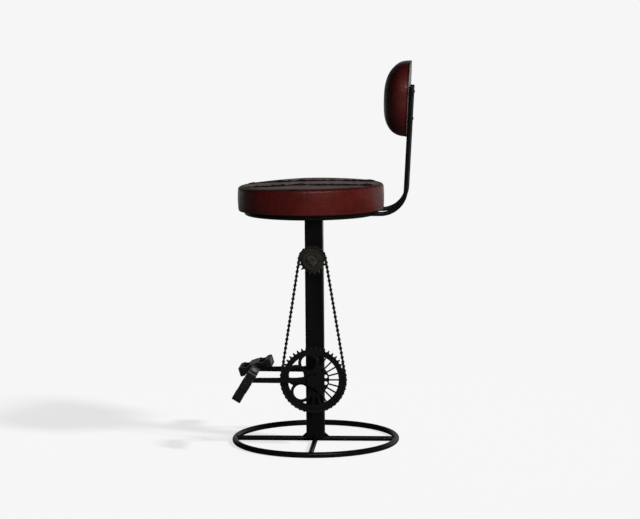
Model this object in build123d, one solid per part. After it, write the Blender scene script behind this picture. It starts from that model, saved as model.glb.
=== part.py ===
from build123d import *
import math
import os

# Bar stool: a leather seat and back on a square post, with a bicycle's cranks, pedals and chain as footrest.
# Millimetres. +Z is up from the floor, +X points to the backrest and -Y is to the sitter's left.

# Base
base_ring_diameter = 468.0
base_ring_bar = 16.0
ground_flat = 0.5
cross_step = 1.0
gusset_reach = 12.0
gusset_height = 11.0
gusset_thickness = 5.0

# Post
post_width = 50.0
post_wall = 2.5
post_corner = 5.0
saddle_depth = 2.0

# Seat frame
seat_underside = 654.0
seat_ring_inset = 18.0
seat_ring_bar = 14.0
seat_forward = 8.0
lug_length = 26.0
lug_width = 20.0
lug_thickness = 3.0
lug_count = 4

# Seat cushion
seat_diameter = 406.0
band_height = 61.0
band_bulge = 1.5
rim_radius = 10.0
rim_seam_share = 0.8
seat_crown = 5.0
seat_board_thickness = 15.0
leather_thickness = 2.5
strip_width = 136.0
welt_radius = 2.4

# Back rods
back_rod_spacing = 140.0
back_rod_reach = 4.4
back_rod_bend = 70.0
back_rod_lean = 3.2
back_rod_rise = 34.0

# Back pad
back_width = 320.0
back_height = 203.0
back_depth = 67.0
back_corner = 84.0
back_rounding = 36.0
back_crown_radius = 900.0
back_panel_thickness = 12.0
back_clearance = 128.5

# Screws of the seat and the back
screw_diameter = 4.5
screw_bite = 9.0
screw_head_diameter = 9.0
screw_head_height = 3.0
screw_head_rounding = 1.8
back_screw_spacing = 75.0
back_screw_edge = 19.0
rod_flat_depth = 1.5
rod_flat_margin = 1.0

# Chain
chain_pitch = 12.7
roller_diameter = 7.75
chain_inner_width = 3.4
link_plate_thickness = 1.1
inner_plate_height = 9.0
outer_plate_height = 8.4
plate_waist = 0.58
chain_pin = 3.6
pin_head = 0.4
link_side_gap = 0.1
freewheel_drop = 124.0

# Sprockets
chainring_teeth = 44
freewheel_teeth = 18
tooth_height = 3.6
tooth_tip = 2.2
sprocket_thickness = 3.0
chain_offset = 55.0

# Openwork of the chainring
rim_width = 15.0
hub_plate_margin = 1.0
hole_margin = 1.0
web_width = 8.5
hole_angles = (105.0, 165.0, 225.0)
spoke_plate_diameter = 88.0
spoke_width = 4.0
spoke_step = 15.0
spoke_angles = (-90.0, 60.0)
hub_hole_diameter = 10.0
hub_hole_step = 30.0

# Bottom bracket
crank_height = 188.0
shell_diameter = 36.0
shell_wall = 2.5
shell_overhang = 10.0
cup_depth = 14.0
cup_flange_step = 3.0
cup_flange_thickness = 4.0
lockring_step = 4.0
lockring_thickness = 4.0
lockring_notch_depth = 3.0
lockring_notch_width = 5.0
lockring_notch_count = 6
cup_nose = 5.5
cup_wall = 2.4
cup_clearance = 1.5
bearing_width = 7.0
spindle_diameter = 17.0
spindle_shoulder = 1.5

# Cranks
crank_clearance = 1.6
crank_length = 180.0
crank_thickness = 12.0
crank_root_height = 26.0
crank_shoulder_height = 22.0
crank_neck_height = 15.0
crank_neck_reach = 44.0
crank_tip_height = 13.0
crank_edge = 2.5
boss_wall = 8.5
boss_overhang = 13.0
boss_inner_step = 1.5
eye_diameter = 25.0
eye_thickness = 14.0
spider_diameter = 52.0
rivet_diameter = 5.0
rivet_head_diameter = 8.0
rivet_head = 1.2
rivet_count = 5

# Cotter pins
cotter_diameter = 9.5
cotter_bite = 4.25
cotter_overhang = 3.0
cotter_thread = 6.0
cotter_thread_length = 11.0
cotter_nut_width = 10.0
cotter_nut_height = 5.0
cotter_washer_diameter = 11.0
cotter_washer_thickness = 1.2

# Freewheel and its stub
freewheel_shell_clearance = 5.0
freewheel_shell_wall = 7.0
freewheel_width = 16.0
freewheel_cover_thickness = 2.5
freewheel_cover_margin = 1.0
freewheel_cover_gap = 2.0
cover_pin_hole = 2.8
key_slot_width = 6.0
key_slot_depth = 4.0
stub_diameter = 32.0
stub_nose = 24.0
stub_bolt = 10.0
stub_bolt_overhang = 2.5
stub_nut_width = 17.0
stub_nut_height = 8.0
stub_washer_diameter = 30.0
stub_washer_thickness = 2.0

# Pedals
pedal_length = 96.0
pedal_width = 88.0
pedal_thickness = 26.0
pedal_corner = 10.0
pedal_edge = 4.0
pedal_waist_radius = 14.0
pedal_waist_depth = 4.0
pedal_rail = 13.0
pedal_cheek = 9.0
pedal_barrel_wall = 5.0
pedal_gap = 2.0
tread_notch = 4.0
tread_notch_depth = 2.0
tread_notch_count = 7
reflector_length = 56.0
reflector_height = 14.0
reflector_depth = 4.0
reflector_sunk = 1.5
left_pedal_tilt = 58.0
right_pedal_tilt = -17.0

# Pedal spindles and bearings
pedal_thread = 14.0
pedal_flange_diameter = 19.0
pedal_flange = 5.0
pedal_shaft = 12.0
pedal_shaft_end = 10.0
pedal_bush_wall = 2.5
pedal_bush_length = 14.0
pedal_nut_diameter = 14.0
pedal_nut_length = 6.0
pedal_end_thread = 8.0
pedal_cap_diameter = 22.0
pedal_cap_thickness = 2.5
pedal_cap_plug = 4.0
pedal_cap_room = 3.0

# Clearances
seat_gap = 0.05
soft_gap = 0.3
running_gap = 0.05
end_play = 0.3

# How near to its place an edge is picked
pick = 0.5

# Places that follow from the sizes above
base_cross_bar = base_ring_bar - 2 * cross_step
seat_cross_bar = seat_ring_bar - 2 * cross_step
back_rod = seat_cross_bar
base_middle = base_ring_bar / 2 - ground_flat
seat_frame_middle = seat_underside - seat_ring_bar / 2
seat_ring_diameter = seat_diameter - 2 * seat_ring_inset
seat_ring_line = (seat_ring_diameter - seat_ring_bar) / 2
seat_top = seat_underside + band_height + rim_radius + seat_crown
back_middle_height = seat_top + back_clearance + back_height / 2
back_rod_top = back_middle_height + back_rod_rise
post_bottom = base_middle + base_cross_bar / 2 - saddle_depth
post_top = seat_frame_middle - seat_cross_bar / 2 + saddle_depth
post_face = post_width / 2
chain_plane = -(post_face + chain_offset)
chain_half_width = chain_inner_width / 2 + 2 * link_plate_thickness + link_side_gap + pin_head
crank_inside = -chain_plane + chain_half_width + crank_clearance
crank_plane = crank_inside + crank_thickness / 2
spindle_half = crank_plane + boss_overhang
through = 2 * spindle_half
shell_bore = shell_diameter - 2 * shell_wall
shell_end = post_face + shell_overhang
bearing_outside = shell_bore - 2 * cup_wall
boss_diameter = spindle_diameter + 2 * boss_wall
cotter_offset = (spindle_diameter + cotter_diameter) / 2 - cotter_bite
cotter_low = crank_height - boss_diameter / 2
spider_thickness = crank_inside + chain_plane - sprocket_thickness / 2 - rivet_head - end_play
freewheel_front = chain_plane - freewheel_width / 2
freewheel_back = chain_plane + freewheel_width / 2
pedal_start = pedal_flange + pedal_gap
pedal_end = pedal_start + pedal_width
pedal_bush = pedal_shaft + 2 * pedal_bush_wall
pedal_barrel = pedal_bush + 2 * pedal_barrel_wall
pedal_nut_start = pedal_end - pedal_cap_plug - pedal_cap_room - pedal_nut_length
pedal_outer_bush_end = pedal_nut_start - end_play
pedal_outer_bush_start = pedal_outer_bush_end - pedal_bush_length


# General shapes

def cylinder_x(diameter, x_from, x_to, y=0.0, z=0.0):
    """A round bar along X between two places."""
    return Pos((x_from + x_to) / 2, y, z) * Rot(0, 90, 0) * Cylinder(diameter / 2, abs(x_to - x_from))


def cylinder_y(diameter, y_from, y_to, x=0.0, z=0.0):
    """A round bar along Y between two places."""
    return Pos(x, (y_from + y_to) / 2, z) * Rot(90, 0, 0) * Cylinder(diameter / 2, abs(y_to - y_from))


def cylinder_z(diameter, z_from, z_to, x=0.0, y=0.0):
    """A round bar along Z between two heights."""
    return Pos(x, y, (z_from + z_to) / 2) * Cylinder(diameter / 2, abs(z_to - z_from))


def hexagon_y(width, y_from, y_to, x=0.0, z=0.0):
    """A hexagon bar along Y, measured across its flats."""
    outline = RegularPolygon(width / 2, 6, major_radius=False)
    bar = extrude(outline, abs(y_to - y_from) / 2, both=True)
    return Pos(x, (y_from + y_to) / 2, z) * Rot(90, 0, 0) * bar


def bent_ring(outside, bar, height):
    """A ring bent from round bar, lying level."""
    return Pos(0, 0, height) * Torus((outside - bar) / 2, bar / 2)


def frame_cross(outside, ring_bar, cross_bar, height):
    """A long bar along X and two half bars along Y, coped to a ring and to each other."""
    middle_line = (outside - ring_bar) / 2
    ring = bent_ring(outside, ring_bar, height)
    whole_bar = cylinder_x(cross_bar, -middle_line, middle_line, z=height)
    long_bar = whole_bar - ring
    left_bar = cylinder_y(cross_bar, -middle_line, 0, z=height) - ring - whole_bar
    right_bar = cylinder_y(cross_bar, 0, middle_line, z=height) - ring - whole_bar
    return long_bar, left_bar, right_bar


# Base and post

def base_ring():
    ring = bent_ring(base_ring_diameter, base_ring_bar, base_middle)
    below = Pos(0, 0, -base_ring_bar / 2) * Box(base_ring_diameter * 2, base_ring_diameter * 2, base_ring_bar)
    return ring - below


def post_gussets():
    """Four small plates between the post's faces and the bars under it."""
    bar_top = base_middle + base_cross_bar / 2
    outline = Polygon(
        (post_face, base_middle),
        (post_face + gusset_reach, base_middle),
        (post_face + gusset_reach, bar_top),
        (post_face, bar_top + gusset_height),
    )
    plate = extrude(Plane.XZ * outline, gusset_thickness / 2, both=True)
    plate -= cylinder_x(base_cross_bar, 0, base_ring_diameter / 2, z=base_middle)
    return Compound([Rot(0, 0, 90 * turn) * plate for turn in range(4)])


def post_tube():
    """A square tube, saddle-cut at both ends, bored for the bottom bracket and the freewheel's bolt."""
    section = RectangleRounded(post_width, post_width, post_corner)
    inside = post_width - 2 * post_wall
    section -= RectangleRounded(inside, inside, post_corner - post_wall)
    tube = Pos(0, 0, post_bottom) * extrude(section, post_top - post_bottom)
    for bar, height, x in (
        (base_cross_bar, base_middle, 0.0),
        (seat_cross_bar, seat_frame_middle, -seat_forward),
    ):
        tube -= cylinder_x(bar, -post_width, post_width, z=height)
        tube -= cylinder_y(bar, -post_width, post_width, x, height)
    tube -= cylinder_y(shell_diameter + 2 * seat_gap, -post_width, post_width, z=crank_height)
    tube -= cylinder_y(stub_bolt + 2 * seat_gap, -post_width, post_width, z=freewheel_height)
    return tube


# Seat

def lug_places():
    """One place for each screw lug, between the bars of the seat's cross."""
    turn = 360 / lug_count
    return [Rot(0, 0, turn * (number + 0.5)) for number in range(lug_count)]


def seat_screw_radius():
    return seat_ring_line - seat_ring_bar / 2 - lug_length / 2


def seat_lugs():
    """Flat lugs welded to the inside of the seat ring, level with its top."""
    inner_end = seat_ring_line - seat_ring_bar / 2 - lug_length
    top = seat_underside
    lug = Pos((inner_end + seat_ring_line) / 2, 0, top - lug_thickness / 2) * Box(
        seat_ring_line - inner_end, lug_width, lug_thickness
    )
    hole = screw_diameter + 2 * seat_gap
    lug -= cylinder_z(hole, top - 2 * lug_thickness, top + lug_thickness, seat_screw_radius())
    lug -= bent_ring(seat_ring_diameter, seat_ring_bar, seat_frame_middle)
    return Compound([place * lug for place in lug_places()])


def pan_head_screw(grip):
    """A pan-head screw that points up, with the top of its grip at height 0."""
    shank = cylinder_z(screw_diameter, -grip, screw_bite)
    head = cylinder_z(screw_head_diameter, -grip - screw_head_height, -grip)
    head = fillet(head.edges().group_by(Axis.Z)[0], screw_head_rounding)
    return shank + head


def seat_screws():
    screw = Pos(seat_screw_radius(), 0, seat_underside) * pan_head_screw(lug_thickness)
    return Compound([place * screw for place in lug_places()])


def seat_board_radius():
    return seat_diameter / 2 - 2 * band_bulge - leather_thickness - soft_gap


def seat_board():
    board = cylinder_z(2 * seat_board_radius(), seat_underside, seat_underside + seat_board_thickness)
    pilot = cylinder_z(screw_diameter + 2 * seat_gap, seat_underside, seat_underside + screw_bite + seat_gap)
    for place in lug_places():
        board -= place * (Pos(seat_screw_radius(), 0, 0) * pilot)
    return board


def crowned_disc(radius, low, shoulder, crown, rounding):
    """A disc with a domed top: its rim meets the dome at the shoulder's height, well rounded."""
    dome = (radius * radius + crown * crown) / (2 * crown)
    half = radius / 2
    half_height = shoulder + crown - dome + math.sqrt(dome * dome - half * half)
    outline = make_face(
        [
            Line((0, low), (radius, low)),
            Line((radius, low), (radius, shoulder)),
            ThreePointArc((radius, shoulder), (half, half_height), (0, shoulder + crown)),
            Line((0, shoulder + crown), (0, low)),
        ]
    )
    corner = outline.vertices().sort_by_distance((radius, shoulder))[0]
    return revolve(Plane.XZ * fillet(corner, rounding), Axis.Z)


def seat_foam():
    low = seat_underside + seat_board_thickness
    shoulder = seat_underside + band_height + rim_radius - leather_thickness - soft_gap
    return crowned_disc(seat_board_radius(), low, shoulder, seat_crown, rim_radius - leather_thickness)


def band_top_radius():
    return seat_diameter / 2 - band_bulge


def rim_seam_radius():
    """The radius of the seam between the side band and the top."""
    return band_top_radius() - rim_seam_share * rim_radius


def inside_rim_seam():
    return cylinder_z(2 * rim_seam_radius(), seat_underside, seat_top + rim_radius)


def seat_skin():
    """The leather over the top and the rounded rim, as one domed shell."""
    low = seat_underside + band_height
    shoulder = low + rim_radius
    outside = crowned_disc(band_top_radius(), low, shoulder, seat_crown, rim_radius)
    inside = crowned_disc(
        band_top_radius() - leather_thickness,
        low - leather_thickness,
        shoulder - leather_thickness,
        seat_crown,
        rim_radius - leather_thickness,
    )
    return outside - inside


def seat_band():
    """The leather side of the seat: fullest below its middle, and turned over the rim to the rim's seam."""
    low = seat_underside
    high = seat_underside + band_height
    foot = seat_diameter / 2 - band_bulge
    fullest = (low + high) / 2 - band_height / 10
    outline = make_face(
        [
            ThreePointArc((foot, low), (seat_diameter / 2, fullest), (band_top_radius(), high)),
            Line((band_top_radius(), high), (band_top_radius() - leather_thickness, high)),
            ThreePointArc(
                (band_top_radius() - leather_thickness, high),
                (seat_diameter / 2 - leather_thickness, fullest),
                (foot - leather_thickness, low),
            ),
            Line((foot - leather_thickness, low), (foot, low)),
        ]
    )
    rim = seat_skin() - inside_rim_seam()
    return revolve(Plane.XZ * outline, Axis.Z) + rim


def seat_top_strips():
    """Three leather strips, front to back over the top; the middle one has a raised edge on each side."""
    top = seat_skin() & inside_rim_seam()
    shoulder = seat_underside + band_height + rim_radius
    dome = (band_top_radius() ** 2 + seat_crown**2) / (2 * seat_crown)
    dome_middle = shoulder + seat_crown - dome
    join = strip_width / 2
    line = join - welt_radius - seat_gap
    end = math.sqrt(rim_seam_radius() ** 2 - line * line) - 2 * welt_radius

    def dome_height(x):
        return dome_middle + math.sqrt(dome * dome - x * x - line * line)

    def welt(side):
        path = ThreePointArc(
            (-end, side * line, dome_height(end)),
            (0, side * line, dome_height(0)),
            (end, side * line, dome_height(end)),
        )
        return sweep(Plane(path @ 0, z_dir=path % 0) * Circle(welt_radius), path)

    height = 4 * (rim_radius + seat_crown)
    wide = 2 * seat_diameter
    middle_slab = Pos(0, 0, shoulder) * Box(wide, strip_width, height)
    side_slab = Pos(0, join + seat_diameter, shoulder) * Box(wide, wide, height)
    middle = (top & middle_slab) + [welt(-1), welt(1)]
    left = top & mirror(side_slab, Plane.XZ)
    right = top & side_slab
    return left, middle, right


# Back

def rod_lean():
    return math.radians(back_rod_lean)


def back_rod_place(height):
    """The x of a back rod's middle line at a height on its straight stretch."""
    side = back_rod_spacing / 2
    bend_start = math.sqrt(seat_diameter * seat_diameter / 4 - side * side) + back_rod_reach
    turn = math.pi / 2 - rod_lean()
    bend_end = bend_start + back_rod_bend * math.sin(turn)
    bend_top = seat_frame_middle + back_rod_bend * (1 - math.cos(turn))
    return bend_end + (height - bend_top) * math.tan(rod_lean())


def back_plane():
    """The plane that the back pad rests against: x to the sitter's left, y up along the rods, z forward."""
    lean = rod_lean()
    forward = Vector(-math.cos(lean), 0, math.sin(lean))
    middle = Vector(back_rod_place(back_middle_height), 0, back_middle_height)
    return Plane(middle + forward * (back_rod / 2), x_dir=(0, -1, 0), z_dir=forward)


def back_screw_places():
    side = back_rod_spacing / 2
    high = back_rod_rise - back_screw_edge
    low = high - back_screw_spacing
    return [(x, y) for x in (-side, side) for y in (low, high)]


def back_rod_solid(y):
    """A rod that leaves the seat ring level, bends up and leans back, drilled for the pad's screws."""
    start = math.sqrt(seat_ring_line * seat_ring_line - y * y)
    corner_x = back_rod_place(seat_frame_middle)
    top_x = back_rod_place(back_rod_top)
    path = FilletPolyline(
        (start, y, seat_frame_middle),
        (corner_x, y, seat_frame_middle),
        (top_x, y, back_rod_top),
        radius=back_rod_bend,
    )
    rod = sweep(Plane(path @ 0, z_dir=path % 0) * Circle(back_rod / 2), path)
    rod = fillet(rod.edges().group_by(Axis.Z)[-1], back_rod / 6)
    rod -= bent_ring(seat_ring_diameter, seat_ring_bar, seat_frame_middle)
    plane = back_plane()
    for x, place_y in back_screw_places():
        hole = cylinder_z(screw_diameter + 2 * seat_gap, -2 * back_rod, back_rod, x, place_y)
        flat_top = -back_rod + rod_flat_depth
        flat_diameter = screw_head_diameter + 2 * rod_flat_margin
        flat = cylinder_z(flat_diameter, flat_top - back_rod, flat_top, x, place_y)
        rod -= [plane * hole, plane * flat]
    return rod


def back_screws():
    plane = back_plane()
    screw = pan_head_screw(back_rod - rod_flat_depth)
    return Compound([plane * (Pos(x, y, 0) * screw) for x, y in back_screw_places()])


def back_panel():
    """The plywood behind the pad, with pilot holes for the screws."""
    board = extrude(RectangleRounded(back_width, back_height, back_corner), back_panel_thickness)
    board = fillet(board.edges().group_by(Axis.Z)[0], back_panel_thickness / 3)
    for x, y in back_screw_places():
        board -= cylinder_z(screw_diameter + 2 * seat_gap, 0, screw_bite + seat_gap, x, y)
    return back_plane() * board


def domed_pad(inset):
    """The pad's soft form on its panel, drawn in all round by the inset: crowned, with well rounded edges."""
    outline = RectangleRounded(back_width - 2 * inset, back_height - 2 * inset, back_corner - inset)
    depth = back_depth - inset
    block = Pos(0, 0, back_panel_thickness) * extrude(outline, depth - back_panel_thickness)
    block &= Pos(0, 0, depth - back_crown_radius) * Sphere(back_crown_radius)
    front_edges = block.edges().filter_by(lambda edge: edge.center().Z > back_panel_thickness + pick)
    rim = [edge for edge in front_edges if abs((edge % 0.5).Z) < pick]
    return fillet(rim, back_rounding - inset)


def back_cover():
    return back_plane() * (domed_pad(0) - domed_pad(leather_thickness))


def back_foam():
    return back_plane() * domed_pad(leather_thickness + soft_gap)


# Chain and sprockets

def pitch_radius(teeth):
    return chain_pitch / 2 / math.sin(math.pi / teeth)


def wrap_links(teeth, angle):
    """The whole number of links nearest to an angle of wrap on one side of a sprocket."""
    return round(angle / (360 / teeth))


def chain_layout():
    """The places of the rollers, from the bottom of the chainring round, and the distance of the axles."""
    big = pitch_radius(chainring_teeth)
    small = pitch_radius(freewheel_teeth)
    strand_links = int((post_top - freewheel_drop - crank_height) / chain_pitch)
    strand = strand_links * chain_pitch
    slope = math.degrees(math.asin((big - small) / strand))
    big_links = wrap_links(chainring_teeth, 90 + slope)
    small_links = wrap_links(freewheel_teeth, 90 - slope)
    big_turn = 2 * math.pi / chainring_teeth
    small_turn = 2 * math.pi / freewheel_teeth

    leave = (big * math.sin(big_links * big_turn), -big * math.cos(big_links * big_turn))
    meet = (small * math.sin(small_links * small_turn), small * math.cos(small_links * small_turn))
    rise = math.sqrt(strand * strand - (leave[0] - meet[0]) ** 2)
    distance = rise + leave[1] - meet[1]

    up = [(big * math.sin(n * big_turn), -big * math.cos(n * big_turn)) for n in range(big_links + 1)]
    for n in range(1, strand_links):
        share = n / strand_links
        up.append((leave[0] + (meet[0] - leave[0]) * share, leave[1] + rise * share))
    for n in range(small_links, 0, -1):
        up.append((small * math.sin(n * small_turn), distance + small * math.cos(n * small_turn)))
    top = [(0.0, distance + small)]
    down = [(-x, z) for x, z in reversed(up[1:])]
    return up + top + down, distance


rollers, axle_distance = chain_layout()
freewheel_height = crank_height + axle_distance


def link_outline(height):
    """A link plate: two round ends on the pins, with a straight waist a little narrower."""
    ends = Circle(height / 2) + Pos(chain_pitch, 0) * Circle(height / 2)
    waist = Pos(chain_pitch / 2, 0) * Rectangle(chain_pitch, height * plate_waist)
    return ends + waist


def inner_link():
    """Two inner plates on two rollers, bored for the pins."""
    inside = chain_inner_width / 2
    plate = Pos(0, 0, inside) * extrude(link_outline(inner_plate_height), link_plate_thickness)
    link = plate + mirror(plate, Plane.XY)
    for x in (0, chain_pitch):
        link += cylinder_z(roller_diameter, -inside, inside, x)
    for x in (0, chain_pitch):
        link -= cylinder_z(chain_pin + 2 * running_gap, -chain_pitch, chain_pitch, x)
    return link


def outer_link():
    """Two outer plates on two pins."""
    inside = chain_inner_width / 2 + link_plate_thickness + link_side_gap
    plate = Pos(0, 0, inside) * extrude(link_outline(outer_plate_height), link_plate_thickness)
    link = plate + mirror(plate, Plane.XY)
    pin_end = inside + link_plate_thickness + pin_head
    for x in (0, chain_pitch):
        link += cylinder_z(chain_pin, -pin_end, pin_end, x)
    return link


def link_place(number):
    """Where a link sits: from its own roller to the next one round the loop."""
    x, z = rollers[number]
    next_x, next_z = rollers[(number + 1) % len(rollers)]
    along = (next_x - x, 0, next_z - z)
    return Plane((x, chain_plane, crank_height + z), x_dir=along, z_dir=(0, -1, 0))


def chain_links(link, first):
    """Every second link of the loop."""
    return Compound([link_place(number) * link for number in range(first, len(rollers), 2)])


def toothed_disc(teeth, seat_angle):
    """A sprocket's outline: round seats for the rollers, with straight flanks up to narrow tips."""
    radius = pitch_radius(teeth)
    tip = radius + tooth_height
    seat = roller_diameter / 2 + 2 * seat_gap
    flank = (math.pi * tip / teeth - tooth_tip / 2 - seat) / tooth_height
    reach = tooth_height + tooth_tip
    opening = seat + flank * reach
    gap = Circle(seat) + Polygon((0, -seat), (reach, -opening), (reach, opening), (0, seat))
    turn = 360 / teeth
    gaps = [Rot(0, 0, seat_angle + turn * number) * (Pos(radius, 0) * gap) for number in range(teeth)]
    return Circle(tip) - gaps


def sprocket_plane(height):
    """The chain's middle plane at an axle's height, seen from the left: x to the backrest, y up."""
    return Plane((0, chain_plane, height), x_dir=(1, 0, 0), z_dir=(0, -1, 0))


def chainring_openwork():
    """Three round holes in a web on one half and straight spokes on the other, inside the toothed rim."""
    rim_inside = pitch_radius(chainring_teeth) - roller_diameter / 2 - rim_width
    hub = spider_diameter / 2 + hub_plate_margin
    hole_circle = (rim_inside + hub) / 2
    hole_radius = (rim_inside - hub) / 2 - hole_margin
    hole_places = [Rot(0, 0, angle) * Pos(hole_circle, 0) for angle in hole_angles]
    web = [place * Circle(hole_radius + web_width) for place in hole_places]
    plate = (Circle(hub) + web) & Circle(rim_inside + rim_width / 2)
    plate -= [place * Circle(hole_radius) for place in hole_places]

    first, last = spoke_angles
    spoke_middle = (first + last) / 2
    spoke_root = spoke_plate_diameter / 2
    half_plane = Pos(spoke_root, 0) * Rectangle(spoke_plate_diameter, spoke_plate_diameter)
    plate += Circle(spoke_root) & (Rot(0, 0, spoke_middle) * half_plane)
    count = round((last - first) / spoke_step)
    inner_end = (hub + spoke_root) / 2
    outer_end = rim_inside + rim_width / 2
    spoke = Pos((inner_end + outer_end) / 2, 0) * Rectangle(outer_end - inner_end, spoke_width)
    plate += [Rot(0, 0, first + spoke_step * number) * spoke for number in range(count + 1)]

    hub_hole_count = round((last - first) / hub_hole_step)
    hub_hole = Pos((hub + spoke_root) / 2, 0) * Circle(hub_hole_diameter / 2)
    for number in range(hub_hole_count):
        plate -= Rot(0, 0, first + hub_hole_step * (number + 0.5)) * hub_hole
    return plate, rim_inside


def rivet_places():
    turn = 360 / rivet_count
    radius = (boss_diameter + spider_diameter) / 4
    return [Rot(0, 0, 90 + turn * number) * Pos(radius, 0) for number in range(rivet_count)]


def chainring():
    plate, rim_inside = chainring_openwork()
    outline = toothed_disc(chainring_teeth, -90) - Circle(rim_inside) + plate
    outline -= Circle(boss_diameter / 2 + seat_gap)
    outline -= [place * Circle(rivet_diameter / 2 + seat_gap) for place in rivet_places()]
    return sprocket_plane(crank_height) * extrude(outline, sprocket_thickness / 2, both=True)


def chainring_rivets():
    """Rivets through the chainring and the crank's flange, with a head on each side."""
    low = -sprocket_thickness / 2
    high = sprocket_thickness / 2 + spider_thickness
    rivet = cylinder_z(rivet_diameter, low, high)
    rivet += cylinder_z(rivet_head_diameter, low - rivet_head, low)
    rivet += cylinder_z(rivet_head_diameter, high, high + rivet_head)
    return Compound([sprocket_plane(crank_height) * (place * rivet) for place in rivet_places()])


# Freewheel at the top of the chain

def freewheel_shell_radius():
    """The shell clears the link plates that lie on the teeth."""
    return pitch_radius(freewheel_teeth) - inner_plate_height / 2 - freewheel_shell_clearance


def freewheel_ring():
    """The toothed ring on its shell."""
    bore = freewheel_shell_radius() - freewheel_shell_wall + seat_gap
    teeth = extrude(toothed_disc(freewheel_teeth, 90), sprocket_thickness / 2, both=True)
    shell = extrude(Circle(freewheel_shell_radius()), freewheel_width / 2, both=True)
    ring = teeth + shell - extrude(Circle(bore), freewheel_width, both=True)
    return sprocket_plane(freewheel_height) * ring


def freewheel_core():
    """The threaded core inside the shell, with two key slots in its face."""
    outside = freewheel_shell_radius() - freewheel_shell_wall
    core = extrude(Circle(outside) - Circle(stub_nose / 2 + seat_gap), freewheel_width / 2, both=True)
    slot = Box(3 * outside, key_slot_width, key_slot_depth)
    core -= Pos(0, 0, (freewheel_width - key_slot_depth) / 2) * slot
    return sprocket_plane(freewheel_height) * core


def freewheel_cover():
    """The cover ring over the bearing, with its two pin holes."""
    outside = freewheel_shell_radius() - freewheel_cover_margin
    inside = stub_washer_diameter / 2 + freewheel_cover_gap
    outline = Circle(outside) - Circle(inside)
    hole_place = (outside + inside) / 2
    outline -= [Pos(side * hole_place, 0) * Circle(cover_pin_hole / 2) for side in (-1, 1)]
    cover = Pos(0, 0, freewheel_width / 2) * extrude(outline, freewheel_cover_thickness)
    return sprocket_plane(freewheel_height) * cover


def freewheel_stub():
    """A spacer tube on the post's face, stepped down to carry the freewheel's core."""
    stub = cylinder_y(stub_diameter, freewheel_back, -post_face, z=freewheel_height)
    stub += cylinder_y(stub_nose, freewheel_front, freewheel_back, z=freewheel_height)
    return stub - cylinder_y(stub_bolt + 2 * seat_gap, -through, 0, z=freewheel_height)


def freewheel_bolt():
    """A hexagon bolt from the far side of the post, through the stub and the core."""
    end = freewheel_front - stub_washer_thickness - stub_nut_height - stub_bolt_overhang
    bolt = cylinder_y(stub_bolt, end, post_face, z=freewheel_height)
    return bolt + hexagon_y(stub_nut_width, post_face, post_face + stub_nut_height, z=freewheel_height)


def freewheel_washer():
    front = freewheel_front - stub_washer_thickness
    washer = cylinder_y(stub_washer_diameter, front, freewheel_front, z=freewheel_height)
    return washer - cylinder_y(stub_bolt + 2 * seat_gap, -through, 0, z=freewheel_height)


def freewheel_nut():
    back = freewheel_front - stub_washer_thickness
    nut = hexagon_y(stub_nut_width, back - stub_nut_height, back, z=freewheel_height)
    return nut - cylinder_y(stub_bolt + 2 * seat_gap, -through, 0, z=freewheel_height)


# Bottom bracket

def bracket_shell():
    shell = cylinder_y(shell_diameter, -shell_end, shell_end, z=crank_height)
    return shell - cylinder_y(shell_bore, -through, through, z=crank_height)


def bearing_pocket(side):
    """The room inside a cup: the bearing's seat and the spindle's way out."""
    seat_depth = shell_end - cup_flange_thickness
    seat = cylinder_y(bearing_outside + 2 * seat_gap, 0, side * seat_depth, z=crank_height)
    return seat + cylinder_y(spindle_diameter + 2 * cup_clearance, 0, side * through, z=crank_height)


def fixed_cup():
    """The flanged cup on the chain's side."""
    inner_end = shell_end - cup_depth
    cup = cylinder_y(shell_bore - 2 * seat_gap, -shell_end, -inner_end, z=crank_height)
    flange = shell_diameter + 2 * cup_flange_step
    cup += cylinder_y(flange, -shell_end - cup_flange_thickness, -shell_end, z=crank_height)
    return cup - bearing_pocket(-1)


def adjustable_cup():
    """The cup on the other side, which stands out of the shell to carry the lockring."""
    inner_end = shell_end - cup_depth
    cup = cylinder_y(shell_bore - 2 * seat_gap, inner_end, shell_end + cup_nose, z=crank_height)
    return cup - bearing_pocket(1)


def cup_lockring():
    """The notched ring that locks the adjustable cup."""
    far_end = shell_end + lockring_thickness
    outside = shell_diameter + 2 * lockring_step
    ring = cylinder_y(outside, shell_end, far_end, z=crank_height)
    ring -= cylinder_y(shell_bore, 0, through, z=crank_height)
    notch = Box(2 * lockring_notch_depth, 2 * lockring_thickness, lockring_notch_width)
    middle = Pos(0, far_end - lockring_thickness / 2, crank_height)
    turn = 360 / lockring_notch_count
    places = [Rot(0, turn * number, 0) * Pos(outside / 2, 0, 0) for number in range(lockring_notch_count)]
    return ring - [middle * (place * notch) for place in places]


def bracket_bearings():
    """A caged bearing in each cup."""
    far_end = shell_end - cup_flange_thickness
    ring = cylinder_y(bearing_outside, far_end - bearing_width, far_end, z=crank_height)
    ring -= cylinder_y(spindle_diameter + 2 * seat_gap, 0, through, z=crank_height)
    return Compound([mirror(ring, Plane.XZ), ring])


def cotter_pin_hole(side):
    """The upright bore that a cotter pin shares with the crank's boss and the spindle's end."""
    low = crank_height - boss_diameter
    high = crank_height + boss_diameter
    return cylinder_z(cotter_diameter + 2 * seat_gap, low, high, cotter_offset, side * crank_plane)


def crank_spindle():
    """The axle through the bearings, fuller between them, notched for the cotter pins."""
    shoulder = shell_end - cup_flange_thickness - bearing_width
    spindle = cylinder_y(spindle_diameter, -spindle_half, spindle_half, z=crank_height)
    spindle = chamfer(spindle.edges(), spindle_diameter / 12)
    fuller = spindle_diameter + 2 * spindle_shoulder
    spindle += cylinder_y(fuller, -shoulder, shoulder, z=crank_height)
    return spindle - [cotter_pin_hole(-1), cotter_pin_hole(1)]


# Cranks

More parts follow.
